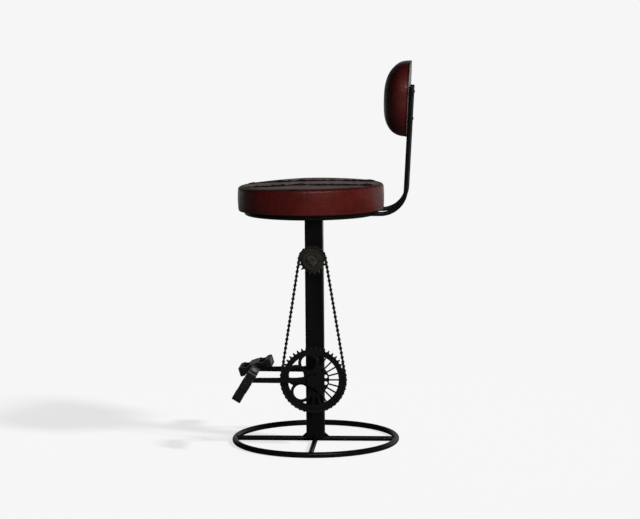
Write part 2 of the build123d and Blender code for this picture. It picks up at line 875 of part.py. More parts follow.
def crank_outline():
    """The arm seen from the side: full at the boss, necked, then slowly tapered to the pedal's eye."""
    root = crank_root_height / 2
    shoulder = crank_shoulder_height / 2
    neck = crank_neck_height / 2
    tip = crank_tip_height / 2
    outline = Polygon(
        (0, -root),
        (0, root),
        (-boss_diameter / 2, shoulder),
        (-crank_neck_reach, neck),
        (-crank_length, tip),
        (-crank_length, -tip),
        (-crank_neck_reach, -neck),
        (-boss_diameter / 2, -shoulder),
    )
    necks = outline.vertices().filter_by(lambda vertex: abs(vertex.X + crank_neck_reach) < pick)
    return fillet(necks, crank_neck_reach / 2)


def crank(side):
    """A forged arm that points forward from its boss to the pedal's eye."""
    y = side * crank_plane
    plane = Plane((0, y, crank_height), x_dir=(1, 0, 0), z_dir=(0, -1, 0))
    arm = extrude(crank_outline(), crank_thickness / 2, both=True)
    long_edges = arm.edges().filter_by(lambda edge: abs(edge.center().Z) > crank_thickness / 2 - pick)
    arm = plane * chamfer(long_edges, crank_edge)
    inner_end = side * (post_face + chain_offset - sprocket_thickness / 2 - boss_inner_step)
    boss = cylinder_y(boss_diameter, inner_end, side * spindle_half, z=crank_height)
    eye = cylinder_y(eye_diameter, y - eye_thickness / 2, y + eye_thickness / 2, -crank_length, crank_height)
    whole = arm + boss + eye
    if side < 0:
        back = chain_plane - sprocket_thickness / 2
        spider = cylinder_y(spider_diameter, back - spider_thickness, back, z=crank_height)
        for place in rivet_places():
            hole = cylinder_z(rivet_diameter + 2 * seat_gap, -spider_diameter, spider_diameter)
            spider -= sprocket_plane(crank_height) * (place * hole)
        whole += spider
    whole -= cylinder_y(spindle_diameter + 2 * seat_gap, -through, through, z=crank_height)
    whole -= cylinder_y(pedal_thread + 2 * seat_gap, -through, through, -crank_length, crank_height)
    return whole - cotter_pin_hole(side)


def cotter_pins():
    pins = []
    for side in (-1, 1):
        y = side * crank_plane
        top = crank_height + boss_diameter / 2 + cotter_overhang
        pin = cylinder_z(cotter_diameter, cotter_low, top, cotter_offset, y)
        pin = chamfer(pin.edges().group_by(Axis.Z)[-1], cotter_overhang / 3)
        pin += cylinder_z(cotter_thread, cotter_low - cotter_thread_length, cotter_low, cotter_offset, y)
        pins.append(pin)
    return Compound(pins)


def cotter_washers():
    outline = Circle(cotter_washer_diameter / 2) - Circle(cotter_thread / 2 + seat_gap)
    washer = extrude(outline, -cotter_washer_thickness)
    return Compound([Pos(cotter_offset, side * crank_plane, cotter_low) * washer for side in (-1, 1)])


def cotter_nuts():
    outline = RegularPolygon(cotter_nut_width / 2, 6, major_radius=False)
    nut = extrude(outline - Circle(cotter_thread / 2 + seat_gap), -cotter_nut_height)
    top = cotter_low - cotter_washer_thickness
    return Compound([Pos(cotter_offset, side * crank_plane, top) * nut for side in (-1, 1)])


# Pedals, modelled with x along the tread, y through its thickness and z outwards from the crank's eye

def pedal_place(side):
    """The end of a crank, on the outer face of its eye."""
    end = side * (crank_plane + eye_thickness / 2)
    return Plane((-crank_length, end, crank_height), x_dir=(-side, 0, 0), z_dir=(0, side, 0))


def pedal_spindle():
    """A threaded end, a flange, and a shaft that steps down to the lock nut's thread."""
    step = (pedal_flange + pedal_outer_bush_start) / 2
    spindle = cylinder_z(pedal_thread, -eye_thickness, 0)
    spindle += cylinder_z(pedal_flange_diameter, 0, pedal_flange)
    spindle += cylinder_z(pedal_shaft, pedal_flange, step)
    spindle += cylinder_z(pedal_shaft_end, step, pedal_nut_start)
    return spindle + cylinder_z(pedal_end_thread, pedal_nut_start, pedal_nut_start + pedal_nut_length)


def pedal_nut():
    nut = RegularPolygon(pedal_nut_diameter / 2, 6) - Circle(pedal_end_thread / 2 + seat_gap)
    return Pos(0, 0, pedal_nut_start) * extrude(nut, pedal_nut_length)


def pedal_bushes():
    """A plain bush at each end of the barrel."""
    inner_start = pedal_flange + end_play
    inner = cylinder_z(pedal_bush, inner_start, inner_start + pedal_bush_length)
    inner -= cylinder_z(pedal_shaft + 2 * running_gap, 0, pedal_end)
    outer = cylinder_z(pedal_bush, pedal_outer_bush_start, pedal_outer_bush_end)
    outer -= cylinder_z(pedal_shaft_end + 2 * running_gap, 0, pedal_end)
    return Compound([inner, outer])


def pedal_cap():
    cap = cylinder_z(pedal_cap_diameter, pedal_end, pedal_end + pedal_cap_thickness)
    cap = fillet(cap.edges().group_by(Axis.Z)[-1], pedal_cap_thickness / 2)
    return cap + cylinder_z(pedal_bush - 2 * seat_gap, pedal_end - pedal_cap_plug, pedal_end)


def reflector_block(grow, reach):
    """One reflector sunk in the end of the tread, grown on every side and longer by its reach outwards."""
    outer_face = pedal_length / 2 - reflector_sunk + reach
    depth = reflector_depth + reach
    block = Box(depth + 2 * grow, reflector_height + 2 * grow, reflector_length + 2 * grow)
    return Pos(outer_face - depth / 2, 0, pedal_start + pedal_width / 2) * block


def pedal_reflectors():
    block = reflector_block(0, 0)
    return Compound([block, mirror(block, Plane.YZ)])


def pedal_body():
    """A moulded platform: two treads and two cheeks round a barrel, with grip notches in the treads."""
    level = Plane((0, 0, pedal_start + pedal_width / 2), x_dir=(1, 0, 0), z_dir=(0, 1, 0))
    outline = RectangleRounded(pedal_length, pedal_width, pedal_corner)
    window_length = pedal_length / 2 - pedal_rail - pedal_barrel / 2
    window_middle = (pedal_length / 2 - pedal_rail + pedal_barrel / 2) / 2
    window = RectangleRounded(window_length, pedal_width - 2 * pedal_cheek, pedal_corner / 3)
    outline -= [Pos(side * window_middle, 0) * window for side in (-1, 1)]
    body = level * extrude(outline, pedal_thickness / 2, both=True)
    profile = RectangleRounded(pedal_length, pedal_thickness, pedal_edge)
    waist = pedal_thickness / 2 + pedal_waist_radius - pedal_waist_depth
    for x in (-window_middle, window_middle):
        profile -= [Pos(x, side * waist) * Circle(pedal_waist_radius) for side in (-1, 1)]
    body &= Pos(0, 0, pedal_start) * extrude(profile, pedal_width)
    body += cylinder_z(pedal_barrel, pedal_start, pedal_end)
    body -= cylinder_z(pedal_bush + 2 * seat_gap, 0, 2 * pedal_end)
    step = pedal_width / (tread_notch_count + 1)
    notch = Box(pedal_rail * 2, tread_notch_depth * 2, tread_notch)
    for x in (-pedal_length / 2 + pedal_rail / 2, pedal_length / 2 - pedal_rail / 2):
        for y in (-pedal_thickness / 2, pedal_thickness / 2):
            body -= [Pos(x, y, pedal_start + step * (n + 1)) * notch for n in range(tread_notch_count)]
    pocket = reflector_block(seat_gap, 2 * reflector_sunk)
    return body - [pocket, mirror(pocket, Plane.YZ)]


def pedal_pieces(name, side, tilt):
    """The named pieces of one pedal, in place at the tilt in which it hangs."""
    place = pedal_place(side).location
    turned = place * Rot(0, 0, tilt)
    return {
        f"{name}_pedal_spindle": place * pedal_spindle(),
        f"{name}_pedal_nut": place * pedal_nut(),
        f"{name}_pedal_body": turned * pedal_body(),
        f"{name}_pedal_bushes": turned * pedal_bushes(),
        f"{name}_pedal_cap": turned * pedal_cap(),
        f"{name}_pedal_reflectors": turned * pedal_reflectors(),
    }


# The whole stool

base_long_bar, base_left_bar, base_right_bar = frame_cross(
    base_ring_diameter, base_ring_bar, base_cross_bar, base_middle
)
seat_long_bar, seat_left_bar, seat_right_bar = frame_cross(
    seat_ring_diameter, seat_ring_bar, seat_cross_bar, seat_frame_middle
)
left_strip, middle_strip, right_strip = seat_top_strips()

pieces = {
    "base_ring": base_ring(),
    "base_long_bar": base_long_bar,
    "base_left_bar": base_left_bar,
    "base_right_bar": base_right_bar,
    "post_tube": post_tube(),
    "post_gussets": post_gussets(),
    "seat_ring": bent_ring(seat_ring_diameter, seat_ring_bar, seat_frame_middle),
    "seat_long_bar": seat_long_bar,
    "seat_left_bar": seat_left_bar,
    "seat_right_bar": seat_right_bar,
    "seat_lugs": seat_lugs(),
    "seat_screws": seat_screws(),
    "seat_board": seat_board(),
    "seat_foam": seat_foam(),
    "seat_band": seat_band(),
    "seat_left_strip": left_strip,
    "seat_middle_strip": middle_strip,
    "seat_right_strip": right_strip,
    "back_left_rod": back_rod_solid(-back_rod_spacing / 2),
    "back_right_rod": back_rod_solid(back_rod_spacing / 2),
    "back_screws": back_screws(),
    "back_panel": back_panel(),
    "back_foam": back_foam(),
    "back_cover": back_cover(),
    "bracket_shell": bracket_shell(),
    "bracket_fixed_cup": fixed_cup(),
    "bracket_adjustable_cup": adjustable_cup(),
    "bracket_lockring": cup_lockring(),
    "bracket_bearings": bracket_bearings(),
    "crank_spindle": crank_spindle(),
    "left_crank": crank(-1),
    "right_crank": crank(1),
    "cotter_pins": cotter_pins(),
    "cotter_washers": cotter_washers(),
    "cotter_nuts": cotter_nuts(),
    "chainring": chainring(),
    "chainring_rivets": chainring_rivets(),
    "chain_inner_links": chain_links(inner_link(), 0),
    "chain_outer_links": chain_links(outer_link(), 1),
    "freewheel_ring": freewheel_ring(),
    "freewheel_core": freewheel_core(),
    "freewheel_cover": freewheel_cover(),
    "freewheel_stub": freewheel_stub(),
    "freewheel_bolt": freewheel_bolt(),
    "freewheel_washer": freewheel_washer(),
    "freewheel_nut": freewheel_nut(),
}
pieces.update(pedal_pieces("left", -1, left_pedal_tilt))
pieces.update(pedal_pieces("right", 1, right_pedal_tilt))

seat_place = Pos(-seat_forward, 0, 0)
for name in pieces:
    if name.startswith(("seat_", "back_")):
        pieces[name] = seat_place * pieces[name]

os.makedirs("parts", exist_ok=True)
for name, piece in pieces.items():
    export_step(piece, f"parts/{name}.step")
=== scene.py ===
import math

import bpy
import numpy as np
from bpy.props import FloatProperty, FloatVectorProperty, PointerProperty
from mathutils import Matrix, Vector, noise


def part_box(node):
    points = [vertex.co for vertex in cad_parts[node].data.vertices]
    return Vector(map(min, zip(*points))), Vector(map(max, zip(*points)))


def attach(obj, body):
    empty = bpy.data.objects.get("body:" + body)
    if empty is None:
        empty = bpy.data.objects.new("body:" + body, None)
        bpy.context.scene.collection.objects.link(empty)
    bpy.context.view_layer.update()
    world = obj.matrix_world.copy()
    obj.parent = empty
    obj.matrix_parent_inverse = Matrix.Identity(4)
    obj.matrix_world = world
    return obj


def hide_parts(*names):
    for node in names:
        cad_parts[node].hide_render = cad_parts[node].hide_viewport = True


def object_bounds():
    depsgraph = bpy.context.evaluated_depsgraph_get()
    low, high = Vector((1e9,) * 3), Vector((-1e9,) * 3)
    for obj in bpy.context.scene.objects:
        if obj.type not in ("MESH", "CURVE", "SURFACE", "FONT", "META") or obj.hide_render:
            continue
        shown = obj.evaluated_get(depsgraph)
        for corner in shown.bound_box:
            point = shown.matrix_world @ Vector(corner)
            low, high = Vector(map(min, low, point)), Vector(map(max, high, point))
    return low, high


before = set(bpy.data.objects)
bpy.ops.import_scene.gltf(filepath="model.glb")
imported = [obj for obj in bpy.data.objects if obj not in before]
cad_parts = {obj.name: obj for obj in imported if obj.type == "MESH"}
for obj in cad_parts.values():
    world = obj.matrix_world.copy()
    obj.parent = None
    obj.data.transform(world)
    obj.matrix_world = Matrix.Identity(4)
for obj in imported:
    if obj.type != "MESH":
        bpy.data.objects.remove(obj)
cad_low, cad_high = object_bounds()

bl_info = {
    "name": "Bar stool with a chain-drive footrest",
    "version": (1, 0, 0),
    "blender": (4, 5, 0),
    "location": "3D View > Sidebar > Stool",
    "description": "Upholsters, paints and lights a bar stool around its fixed frame",
    "category": "Object",
}

FRAME_BODY = "frame"
PHOTO_WIDTH = 640
HIDE_THICKNESS = 0.002
PARED_THICKNESS = 0.0008
THREAD_WIDTH = 0.0008
CLOTH_FRAMES = 20
CROSS_STEP = 0.001
WELD_SEAT = 0.0004
FLOOR_GAP = 0.0002
LAMP_DISTANCE = 3.4
WHITE = (1.0, 1.0, 1.0, 1.0)

FRAME_NODES = (
    "base_ring", "base_long_bar", "base_left_bar", "base_right_bar", "post_tube", "post_gussets",
    "seat_ring", "seat_long_bar", "seat_left_bar", "seat_right_bar", "seat_lugs",
    "back_left_rod", "back_right_rod", "back_screws",
)
DRIVE_NODES = (
    "bracket_shell", "bracket_fixed_cup", "bracket_adjustable_cup", "bracket_lockring",
    "left_crank", "right_crank", "chainring", "chainring_rivets", "freewheel_stub",
    "crank_spindle", "cotter_pins", "cotter_washers", "cotter_nuts",
)
CHAIN_NODES = ("chain_inner_links", "chain_outer_links")
FREEWHEEL_NODES = ("freewheel_ring", "freewheel_core", "freewheel_cover")
FASTENER_NODES = (
    "seat_screws", "bracket_bearings", "freewheel_bolt", "freewheel_washer", "freewheel_nut",
    "left_pedal_spindle", "left_pedal_nut", "right_pedal_spindle", "right_pedal_nut",
)
PEDAL_NODES = (
    "left_pedal_body", "left_pedal_bushes", "left_pedal_cap",
    "right_pedal_body", "right_pedal_bushes", "right_pedal_cap",
)
REFLECTOR_NODES = ("left_pedal_reflectors", "right_pedal_reflectors")


# Sizes read from the frame

def middle_and_size(node):
    """A frame node's middle and its size along each axis."""
    low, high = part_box(node)
    return (low + high) / 2, high - low


seat_low, seat_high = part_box("seat_band")
seat_size = seat_high - seat_low
seat_axis = Vector(((seat_low.x + seat_high.x) / 2, 0.0, 0.0))


# Settings that a user would change

class LeatherSettings(bpy.types.PropertyGroup):
    """The hide on the seat and the back."""

    colour: FloatVectorProperty(
        name="Colour", description="The hide's main colour",
        subtype="COLOR", size=3, min=0, max=1, default=(0.105, 0.0098, 0.0068),
    )
    # Also the colour that the back pad's painted shade darkens towards.
    dark_colour: FloatVectorProperty(
        name="Dark colour", description="The colour in folds and beside seams",
        subtype="COLOR", size=3, min=0, max=1, default=(0.010, 0.0022, 0.0018),
    )
    worn_colour: FloatVectorProperty(
        name="Worn colour", description="The colour where the dye has rubbed thin",
        subtype="COLOR", size=3, min=0, max=1, default=(0.160, 0.0200, 0.0125),
    )
    thread_colour: FloatVectorProperty(
        name="Thread colour", description="The colour of the stitches",
        subtype="COLOR", size=3, min=0, max=1, default=(0.018, 0.006, 0.005),
    )
    gloss_roughness: FloatProperty(
        name="Roughness", description="How dull the waxed hide is",
        default=0.36, min=0, max=1, subtype="FACTOR",
    )
    pore_size: FloatProperty(
        name="Pore size", description="Distance between the pores of the grain",
        default=0.0013, unit="LENGTH",
    )


class SeatSettings(bpy.types.PropertyGroup):
    """The round seat cushion."""

    crown: FloatProperty(
        name="Crown", description="How far the top rises over its rim's seam",
        default=0.0016, unit="LENGTH",
    )
    front_droop: FloatProperty(
        name="Front droop", description="How far use has pressed the front of the rim down",
        default=0.0060, unit="LENGTH",
    )
    rim_round: FloatProperty(
        name="Rim rounding", description="How far the band rolls over the rim",
        default=0.0095, unit="LENGTH",
    )
    strip_width: FloatProperty(
        name="Strip width", description="Width of the middle strip of the top",
        default=0.136, unit="LENGTH",
    )
    seam_height: FloatProperty(
        name="Seam height", description="How far the top seams stand up",
        default=0.0050, unit="LENGTH",
    )
    seam_width: FloatProperty(
        name="Seam width", description="Thickness of the folded edge in a top seam",
        default=0.0056, unit="LENGTH",
    )
    edge_roll: FloatProperty(
        name="Edge roll", description="Rounding where a strip turns down into a seam",
        default=0.0045, unit="LENGTH",
    )
    hem_height: FloatProperty(
        name="Hem height", description="Height of the hem's stitch line over the lower edge",
        default=0.0085, unit="LENGTH",
    )
    stitch_length: FloatProperty(
        name="Stitch length", description="Length of one stitch", default=0.0046, unit="LENGTH",
    )
    stitch_step: FloatProperty(
        name="Stitch step", description="Distance from one stitch to the next",
        default=0.0068, unit="LENGTH",
    )
    puff_pressure: FloatProperty(
        name="Filling pressure", description="Pressure of the filling under the hide",
        default=4.0, min=0,
    )
    puff_limit: FloatProperty(
        name="Filling limit", description="The furthest that the hide swells",
        default=0.0014, unit="LENGTH",
    )


class BackSettings(bpy.types.PropertyGroup):
    """The backrest's pad."""

    width: FloatProperty(
        name="Width", description="Width of the pad",
        default=0.3200, unit="LENGTH",
    )
    height: FloatProperty(
        name="Height", description="Height of the pad",
        default=0.2015, unit="LENGTH",
    )
    depth: FloatProperty(
        name="Depth", description="Depth of the pad with its panel",
        default=0.0660, unit="LENGTH",
    )
    corner: FloatProperty(
        name="Corner", description="Corner radius of the pad",
        default=0.084, unit="LENGTH",
    )
    lean: FloatProperty(
        name="Lean", description="How far the pad leans back",
        default=math.radians(3.2), subtype="ANGLE",
    )
    fullness: FloatProperty(
        name="Fullness", description="How square the pad's section is: 2 is an ellipse",
        default=2.6, min=1.5,
    )
    # This setting is painted shade, not wear: it darkens the pad's front, top and bottom where the
    # light falls off.
    painted_front_shade: FloatProperty(
        name="Painted front shade", description="How far leaning backs have darkened the pad's front",
        default=0.78, min=0, max=1, subtype="FACTOR",
    )
    cord: FloatProperty(
        name="Cord", description="Radius of the cord at the pad's rear edge",
        default=0.0013, unit="LENGTH",
    )
    puff_pressure: FloatProperty(
        name="Filling pressure", description="Pressure of the filling under the hide",
        default=4.0, min=0,
    )
    puff_limit: FloatProperty(
        name="Filling limit", description="The furthest that the hide swells",
        default=0.0014, unit="LENGTH",
    )


class MetalSettings(bpy.types.PropertyGroup):
    """The painted frame and the second-hand drive."""

    paint_colour: FloatVectorProperty(
        name="Paint colour", description="The frame's black paint",
        subtype="COLOR", size=3, min=0, max=1, default=(0.0046, 0.0046, 0.0048),
    )
    rubbed_colour: FloatVectorProperty(
        name="Rubbed colour", description="The paint where it has been scuffed",
        subtype="COLOR", size=3, min=0, max=1, default=(0.016, 0.0155, 0.015),
    )
    steel_colour: FloatVectorProperty(
        name="Steel colour", description="Bare steel",
        subtype="COLOR", size=3, min=0, max=1, default=(0.30, 0.29, 0.26),
    )
    grease_colour: FloatVectorProperty(
        name="Grease colour", description="Old grease and dust",
        subtype="COLOR", size=3, min=0, max=1, default=(0.020, 0.016, 0.010),
    )
    bead_radius: FloatProperty(
        name="Bead radius", description="Radius of the weld beads", default=0.0017, unit="LENGTH",
    )
    bead_ripple: FloatProperty(
        name="Bead ripple", description="Length of one ripple of a weld bead",
        default=0.0026, unit="LENGTH",
    )


class PedalSettings(bpy.types.PropertyGroup):
    """The moulded pedals."""

    plastic_colour: FloatVectorProperty(
        name="Plastic colour", description="The moulded pedal bodies",
        subtype="COLOR", size=3, min=0, max=1, default=(0.0065, 0.0065, 0.0068),
    )
    reflector_colour: FloatVectorProperty(
        name="Reflector colour", description="The reflectors in the pedals",
        subtype="COLOR", size=3, min=0, max=1, default=(0.20, 0.195, 0.19),
    )


class StageSettings(bpy.types.PropertyGroup):
    """Camera, light and floor."""

    azimuth: FloatProperty(
        name="Azimuth", description="Camera's turn round the stool",
        default=math.radians(4.0), subtype="ANGLE",
    )
    distance: FloatProperty(
        name="Distance", description="Level distance from the post to the camera",
        default=5.92, unit="LENGTH",
    )
    height: FloatProperty(
        name="Height", description="Camera's height over the floor", default=1.237, unit="LENGTH",
    )
    pitch: FloatProperty(
        name="Pitch", description="How far the camera looks down",
        default=math.radians(6.975), subtype="ANGLE",
    )
    roll: FloatProperty(
        name="Roll", description="The camera's tilt to the side",
        default=math.radians(-0.45), subtype="ANGLE",
    )
    focal_pixels: FloatProperty(
        name="Focal length", description="Focal length in pixels of the picture",
        default=2145.0, min=1,
    )
    post_column: FloatProperty(
        name="Post column", description="Picture column of the post's axis",
        default=314.3, subtype="PIXEL",
    )
    backdrop: FloatProperty(
        name="Backdrop", description="Brightness of the floor and the background",
        default=0.922, min=0,
    )
    floor_shade: FloatProperty(
        name="Floor shade", description="How much light the floor near the stool gives back",
        default=0.5, min=0, max=1, subtype="FACTOR",
    )
    floor_glow: FloatProperty(
        name="Floor glow", description="Brightness that shadows on the floor keep",
        default=0.745, min=0,
    )
    key_power: FloatProperty(
        name="Key light", description="Power of the front light",
        default=92.0, unit="POWER",
    )
    glint_power: FloatProperty(
        name="Glint", description="Power of the lamp that is seen only as a shine",
        default=56.0, unit="POWER",
    )
    fill_power: FloatProperty(
        name="Fill", description="Power of the soft light on the stool's far side",
        default=50.0, unit="POWER",
    )
    side_strength: FloatProperty(
        name="Side light", description="Strength of the light that casts the shadow",
        default=1.6, min=0,
    )


SETTINGS = {
    "leather": LeatherSettings,
    "seat": SeatSettings,
    "back": BackSettings,
    "metal": MetalSettings,
    "pedals": PedalSettings,
    "stage": StageSettings,
}


class StoolSettings(bpy.types.PropertyGroup):
    """All the stool's settings."""

    leather: PointerProperty(type=LeatherSettings, name="Leather", description="The hide")
    seat: PointerProperty(type=SeatSettings, name="Seat", description="The seat cushion")
    back: PointerProperty(type=BackSettings, name="Back", description="The backrest's pad")
    metal: PointerProperty(type=MetalSettings, name="Metal", description="Frame and drive")
    pedals: PointerProperty(type=PedalSettings, name="Pedals", description="The pedals")
    stage: PointerProperty(type=StageSettings, name="Stage", description="Camera, light and floor")


# Shader sums written as Python expressions

class Wire:
    """A shader socket that can be added, multiplied and so on with numbers and other wires."""

    def __init__(self, finish, socket):
        self.finish = finish
        self.socket = socket

    def math(self, operation, first, second):
        """Adds a Math node for one operation."""
        return self.finish.node("ShaderNodeMath", {"operation": operation}, {0: first, 1: second})

    def __add__(self, other):
        return self.math("ADD", self, other)

    def __radd__(self, other):
        return self.math("ADD", other, self)

    def __sub__(self, other):
        return self.math("SUBTRACT", self, other)

    def __rsub__(self, other):
        return self.math("SUBTRACT", other, self)

    def __mul__(self, other):
        return self.math("MULTIPLY", self, other)

    def __rmul__(self, other):
        return self.math("MULTIPLY", other, self)


class Finish:
    """One node tree that is filled by node() and ends in a principled surface."""

    def __init__(self, tree):
        self.tree = tree
        tree.nodes.clear()

    def node(self, kind, settings=None, sockets=None, output=0):
        """Adds a node, sets it up, then fills its sockets with values or wires."""
        made = self.tree.nodes.new(kind)
        for name, value in (settings or {}).items():
            setattr(made, name, value)
        for name, value in (sockets or {}).items():
            if isinstance(value, Wire):
                self.tree.links.new(value.socket, made.inputs[name])
            else:
                made.inputs[name].default_value = value
        return Wire(self, made.outputs[output]) if made.outputs else made

    def place(self):
        """The point on the piece, in metres from its origin."""
        return self.node("ShaderNodeTexCoord", output=3)

    def stretched(self, scale):
        """The point on the piece with each axis stretched."""
        return self.node(
            "ShaderNodeVectorMath", {"operation": "MULTIPLY"}, {0: self.place(), 1: scale}
        )

    def clouds(self, size, detail=3.0, rough=0.5, place=None):
        """Noise whose patches are about as large as the size, in metres."""
        return self.node(
            "ShaderNodeTexNoise", None,
            {
                "Vector": place or self.place(), "Scale": 1.0 / size,
                "Detail": detail, "Roughness": rough,
            },
        )

    def step(self, value, low, high):
        """Rises smoothly from 0 to 1 between two values."""
        return self.node(
            "ShaderNodeMapRange", {"interpolation_type": "SMOOTHSTEP"},
            {"Value": value, "From Min": low, "From Max": high},
        )

    def blend(self, share, first, second):
        """A colour between two colours."""
        return self.node(
            "ShaderNodeMix", {"data_type": "RGBA"},
            {0: share, 6: colour_of(first), 7: colour_of(second)}, output=2,
        )

    def bump(self, height, distance, strength=1.0, below=None):
        """Small relief, on top of another relief where one is given."""
        sockets = {"Height": height, "Distance": distance, "Strength": strength}
        if below is not None:
            sockets["Normal"] = below
        return self.node("ShaderNodeBump", None, sockets)

    def surface(self, **sockets):
        """Ends the tree in a principled surface."""
        shader = self.node("ShaderNodeBsdfPrincipled", None, sockets)
        self.node("ShaderNodeOutputMaterial", None, {"Surface": shader})


def colour_of(value):
    """A colour's three numbers with full opacity, or a wire as it is."""
    return value if isinstance(value, Wire) else (*value, 1.0)


def dimmed(colour, share):
    """A colour with only a share of its brightness."""
    return [part * share for part in colour]


def new_finish(name):
    """A new material and its empty node tree."""
    material = bpy.data.materials.new(name)
    material.use_nodes = True
    return material, Finish(material.node_tree)


# Materials

def oxblood_leather(settings):
    """Waxed red-brown hide: cloudy dye, fine pores, soft creases, darker beside the seams; painted
    shade on the back pad.
    """
    material, finish = new_finish("oxblood_leather")
    # The seam attribute: nearness to a seam, and on the back pad also painted shade.
    seam = finish.node("ShaderNodeAttribute", {"attribute_name": "seam"}, output=2)
    drift = finish.clouds(size=0.085, detail=3.0)
    mottle = finish.clouds(size=0.016, detail=5.0, rough=0.6)
    flecks = finish.clouds(size=0.0035, detail=4.0, rough=0.65)
    creases = finish.clouds(
        size=0.011, detail=2.0, rough=0.5, place=finish.stretched((0.45, 1.0, 1.6)),
    )

    cloudy = finish.step(drift * 0.6 + mottle * 0.4, 0.36, 0.66)
    dyed = finish.blend(cloudy, dimmed(settings.colour, 0.62), settings.colour)
    rubbed = finish.step(mottle * 0.55 + flecks * 0.45, 0.55, 0.72)
    tinted = finish.blend(rubbed * 0.55, dyed, settings.worn_colour)
    # Darkens by the seam attribute: beside seams, and on the back pad as painted shade.
    shaded = finish.blend(finish.step(seam, 0.15, 0.95) * 0.85, tinted, settings.dark_colour)

    pores = finish.node(
        "ShaderNodeTexVoronoi", {"feature": "DISTANCE_TO_EDGE"},
        {"Vector": finish.place(), "Scale": 1.0 / settings.pore_size, "Randomness": 0.9},
    )
    grain = finish.step(pores, 0.0, 0.22)
    coarse = finish.bump(creases, 0.0011, 0.5)
    fine = finish.bump(grain, 0.00022, 0.35, coarse)
    dullness = settings.gloss_roughness + (mottle - 0.5) * 0.22 + (1.0 - grain) * 0.10 + seam * 0.12
    finish.surface(**{
        "Base Color": shaded, "Roughness": dullness, "Normal": fine, "Specular IOR Level": 0.20,
        "Coat Weight": 0.09, "Coat Roughness": 0.15,
    })
    return material


def seam_leather(settings):
    """The cut and folded edges of the hide, burnished nearly black."""
    material, finish = new_finish("seam_leather")
    patches = finish.clouds(size=0.012, detail=4.0, rough=0.6)
    fibres = finish.clouds(
        size=0.0018, detail=3.0, rough=0.7, place=finish.stretched((0.3, 1.0, 1.0)),
    )
    shade = finish.blend(
        finish.step(patches, 0.42, 0.78) * 0.3, dimmed(settings.dark_colour, 0.4),
        dimmed(settings.colour, 0.45),
    )
    finish.surface(**{
        "Base Color": shade, "Roughness": 0.42 + fibres * 0.22,
        "Normal": finish.bump(fibres, 0.0004, 0.6),
        "Specular IOR Level": 0.12,
    })
    return material


def waxed_thread(settings):
    """Dark twisted thread."""
    material, finish = new_finish("waxed_thread")
    twist = finish.node(
        "ShaderNodeTexWave", {"wave_type": "BANDS", "bands_direction": "DIAGONAL"},
        {"Vector": finish.place(), "Scale": 420.0, "Distortion": 0.6},
    )
    shade = finish.blend(twist, dimmed(settings.thread_colour, 0.5), settings.thread_colour)
    finish.surface(**{
        "Base Color": shade, "Roughness": 0.5 + twist * 0.15,
        "Normal": finish.bump(twist, 0.0002, 0.6),
    })
    return material


def black_paint(settings):
    """Satin black powder coat with a fine orange peel and a few scuffs."""
    material, finish = new_finish("black_paint")
    peel = finish.clouds(size=0.0016, detail=2.0)
    patches = finish.clouds(size=0.05, detail=4.0, rough=0.6)
    scratches = finish.clouds(
        size=0.0022, detail=3.0, rough=0.6, place=finish.stretched((1.0, 1.0, 0.12)),
    )
    scuffed = finish.step(patches * 0.6 + scratches * 0.4, 0.56, 0.70)
    shade = finish.blend(scuffed * 0.55, settings.paint_colour, settings.rubbed_colour)
    finish.surface(**{
        "Base Color": shade, "Roughness": 0.26 + patches * 0.12 + scuffed * 0.12,
        "Normal": finish.bump(peel, 0.0002, 0.18), "Specular IOR Level": 0.17,
    })
    return material


def drive_paint(settings):
    """Black paint brushed over old drive parts, with thin spots and streaks of grease."""
    material, finish = new_finish("drive_paint")
    patches = finish.clouds(size=0.018, detail=5.0, rough=0.65)
    pits = finish.clouds(size=0.0024, detail=4.0, rough=0.7)
    streaks = finish.clouds(
        size=0.004, detail=3.0, rough=0.6, place=finish.stretched((1.0, 0.25, 1.0)),
    )
    rubbed = finish.step(patches * 0.5 + pits * 0.5, 0.56, 0.70)
    greasy = finish.step(streaks, 0.50, 0.75)
    coated = finish.blend(greasy * 0.6, settings.paint_colour, settings.grease_colour)
    shade = finish.blend(rubbed * 0.6, coated, settings.rubbed_colour)
    finish.surface(**{
        "Base Color": shade, "Roughness": 0.46 - greasy * 0.14 + rubbed * 0.10,
        "Metallic": rubbed * 0.35,
        "Normal": finish.bump(pits, 0.0004, 0.4), "Specular IOR Level": 0.20,
    })
    return material


def oily_chain(settings):
    """Dark chain steel, rubbed bright in patches on the plates and black and oily elsewhere."""
    material, finish = new_finish("oily_chain")
    patches = finish.clouds(size=0.009, detail=4.0, rough=0.6)
    pits = finish.clouds(size=0.0011, detail=3.0, rough=0.7)
    rubbed = finish.step(patches * 0.6 + pits * 0.4, 0.50, 0.72)
    dark = dimmed(settings.paint_colour, 1.3)
    oiled = finish.blend(pits, dark, settings.grease_colour)
    shade = finish.blend(rubbed * 0.5, oiled, settings.rubbed_colour)
    finish.surface(**{
        "Base Color": shade, "Roughness": 0.34 + patches * 0.2,
        "Metallic": 0.35 + rubbed * 0.4,
        "Normal": finish.bump(pits, 0.0002, 0.4), "Specular IOR Level": 0.4,
    })
    return material


def worn_steel(settings):
    """Turned steel gone brown and olive with old oil, brighter where it has been handled."""
    material, finish = new_finish("worn_steel")
    patches = finish.clouds(size=0.012, detail=5.0, rough=0.65)
    pits = finish.clouds(size=0.0016, detail=4.0, rough=0.7)
    bright = finish.step(patches * 0.65 + pits * 0.35, 0.46, 0.68)
    shade = finish.blend(bright, settings.grease_colour, dimmed(settings.steel_colour, 0.28))
    finish.surface(**{
        "Base Color": shade, "Roughness": 0.52 - bright * 0.18,
        "Metallic": 0.35 + bright * 0.5,
        "Normal": finish.bump(pits, 0.0003, 0.4),
    })
    return material


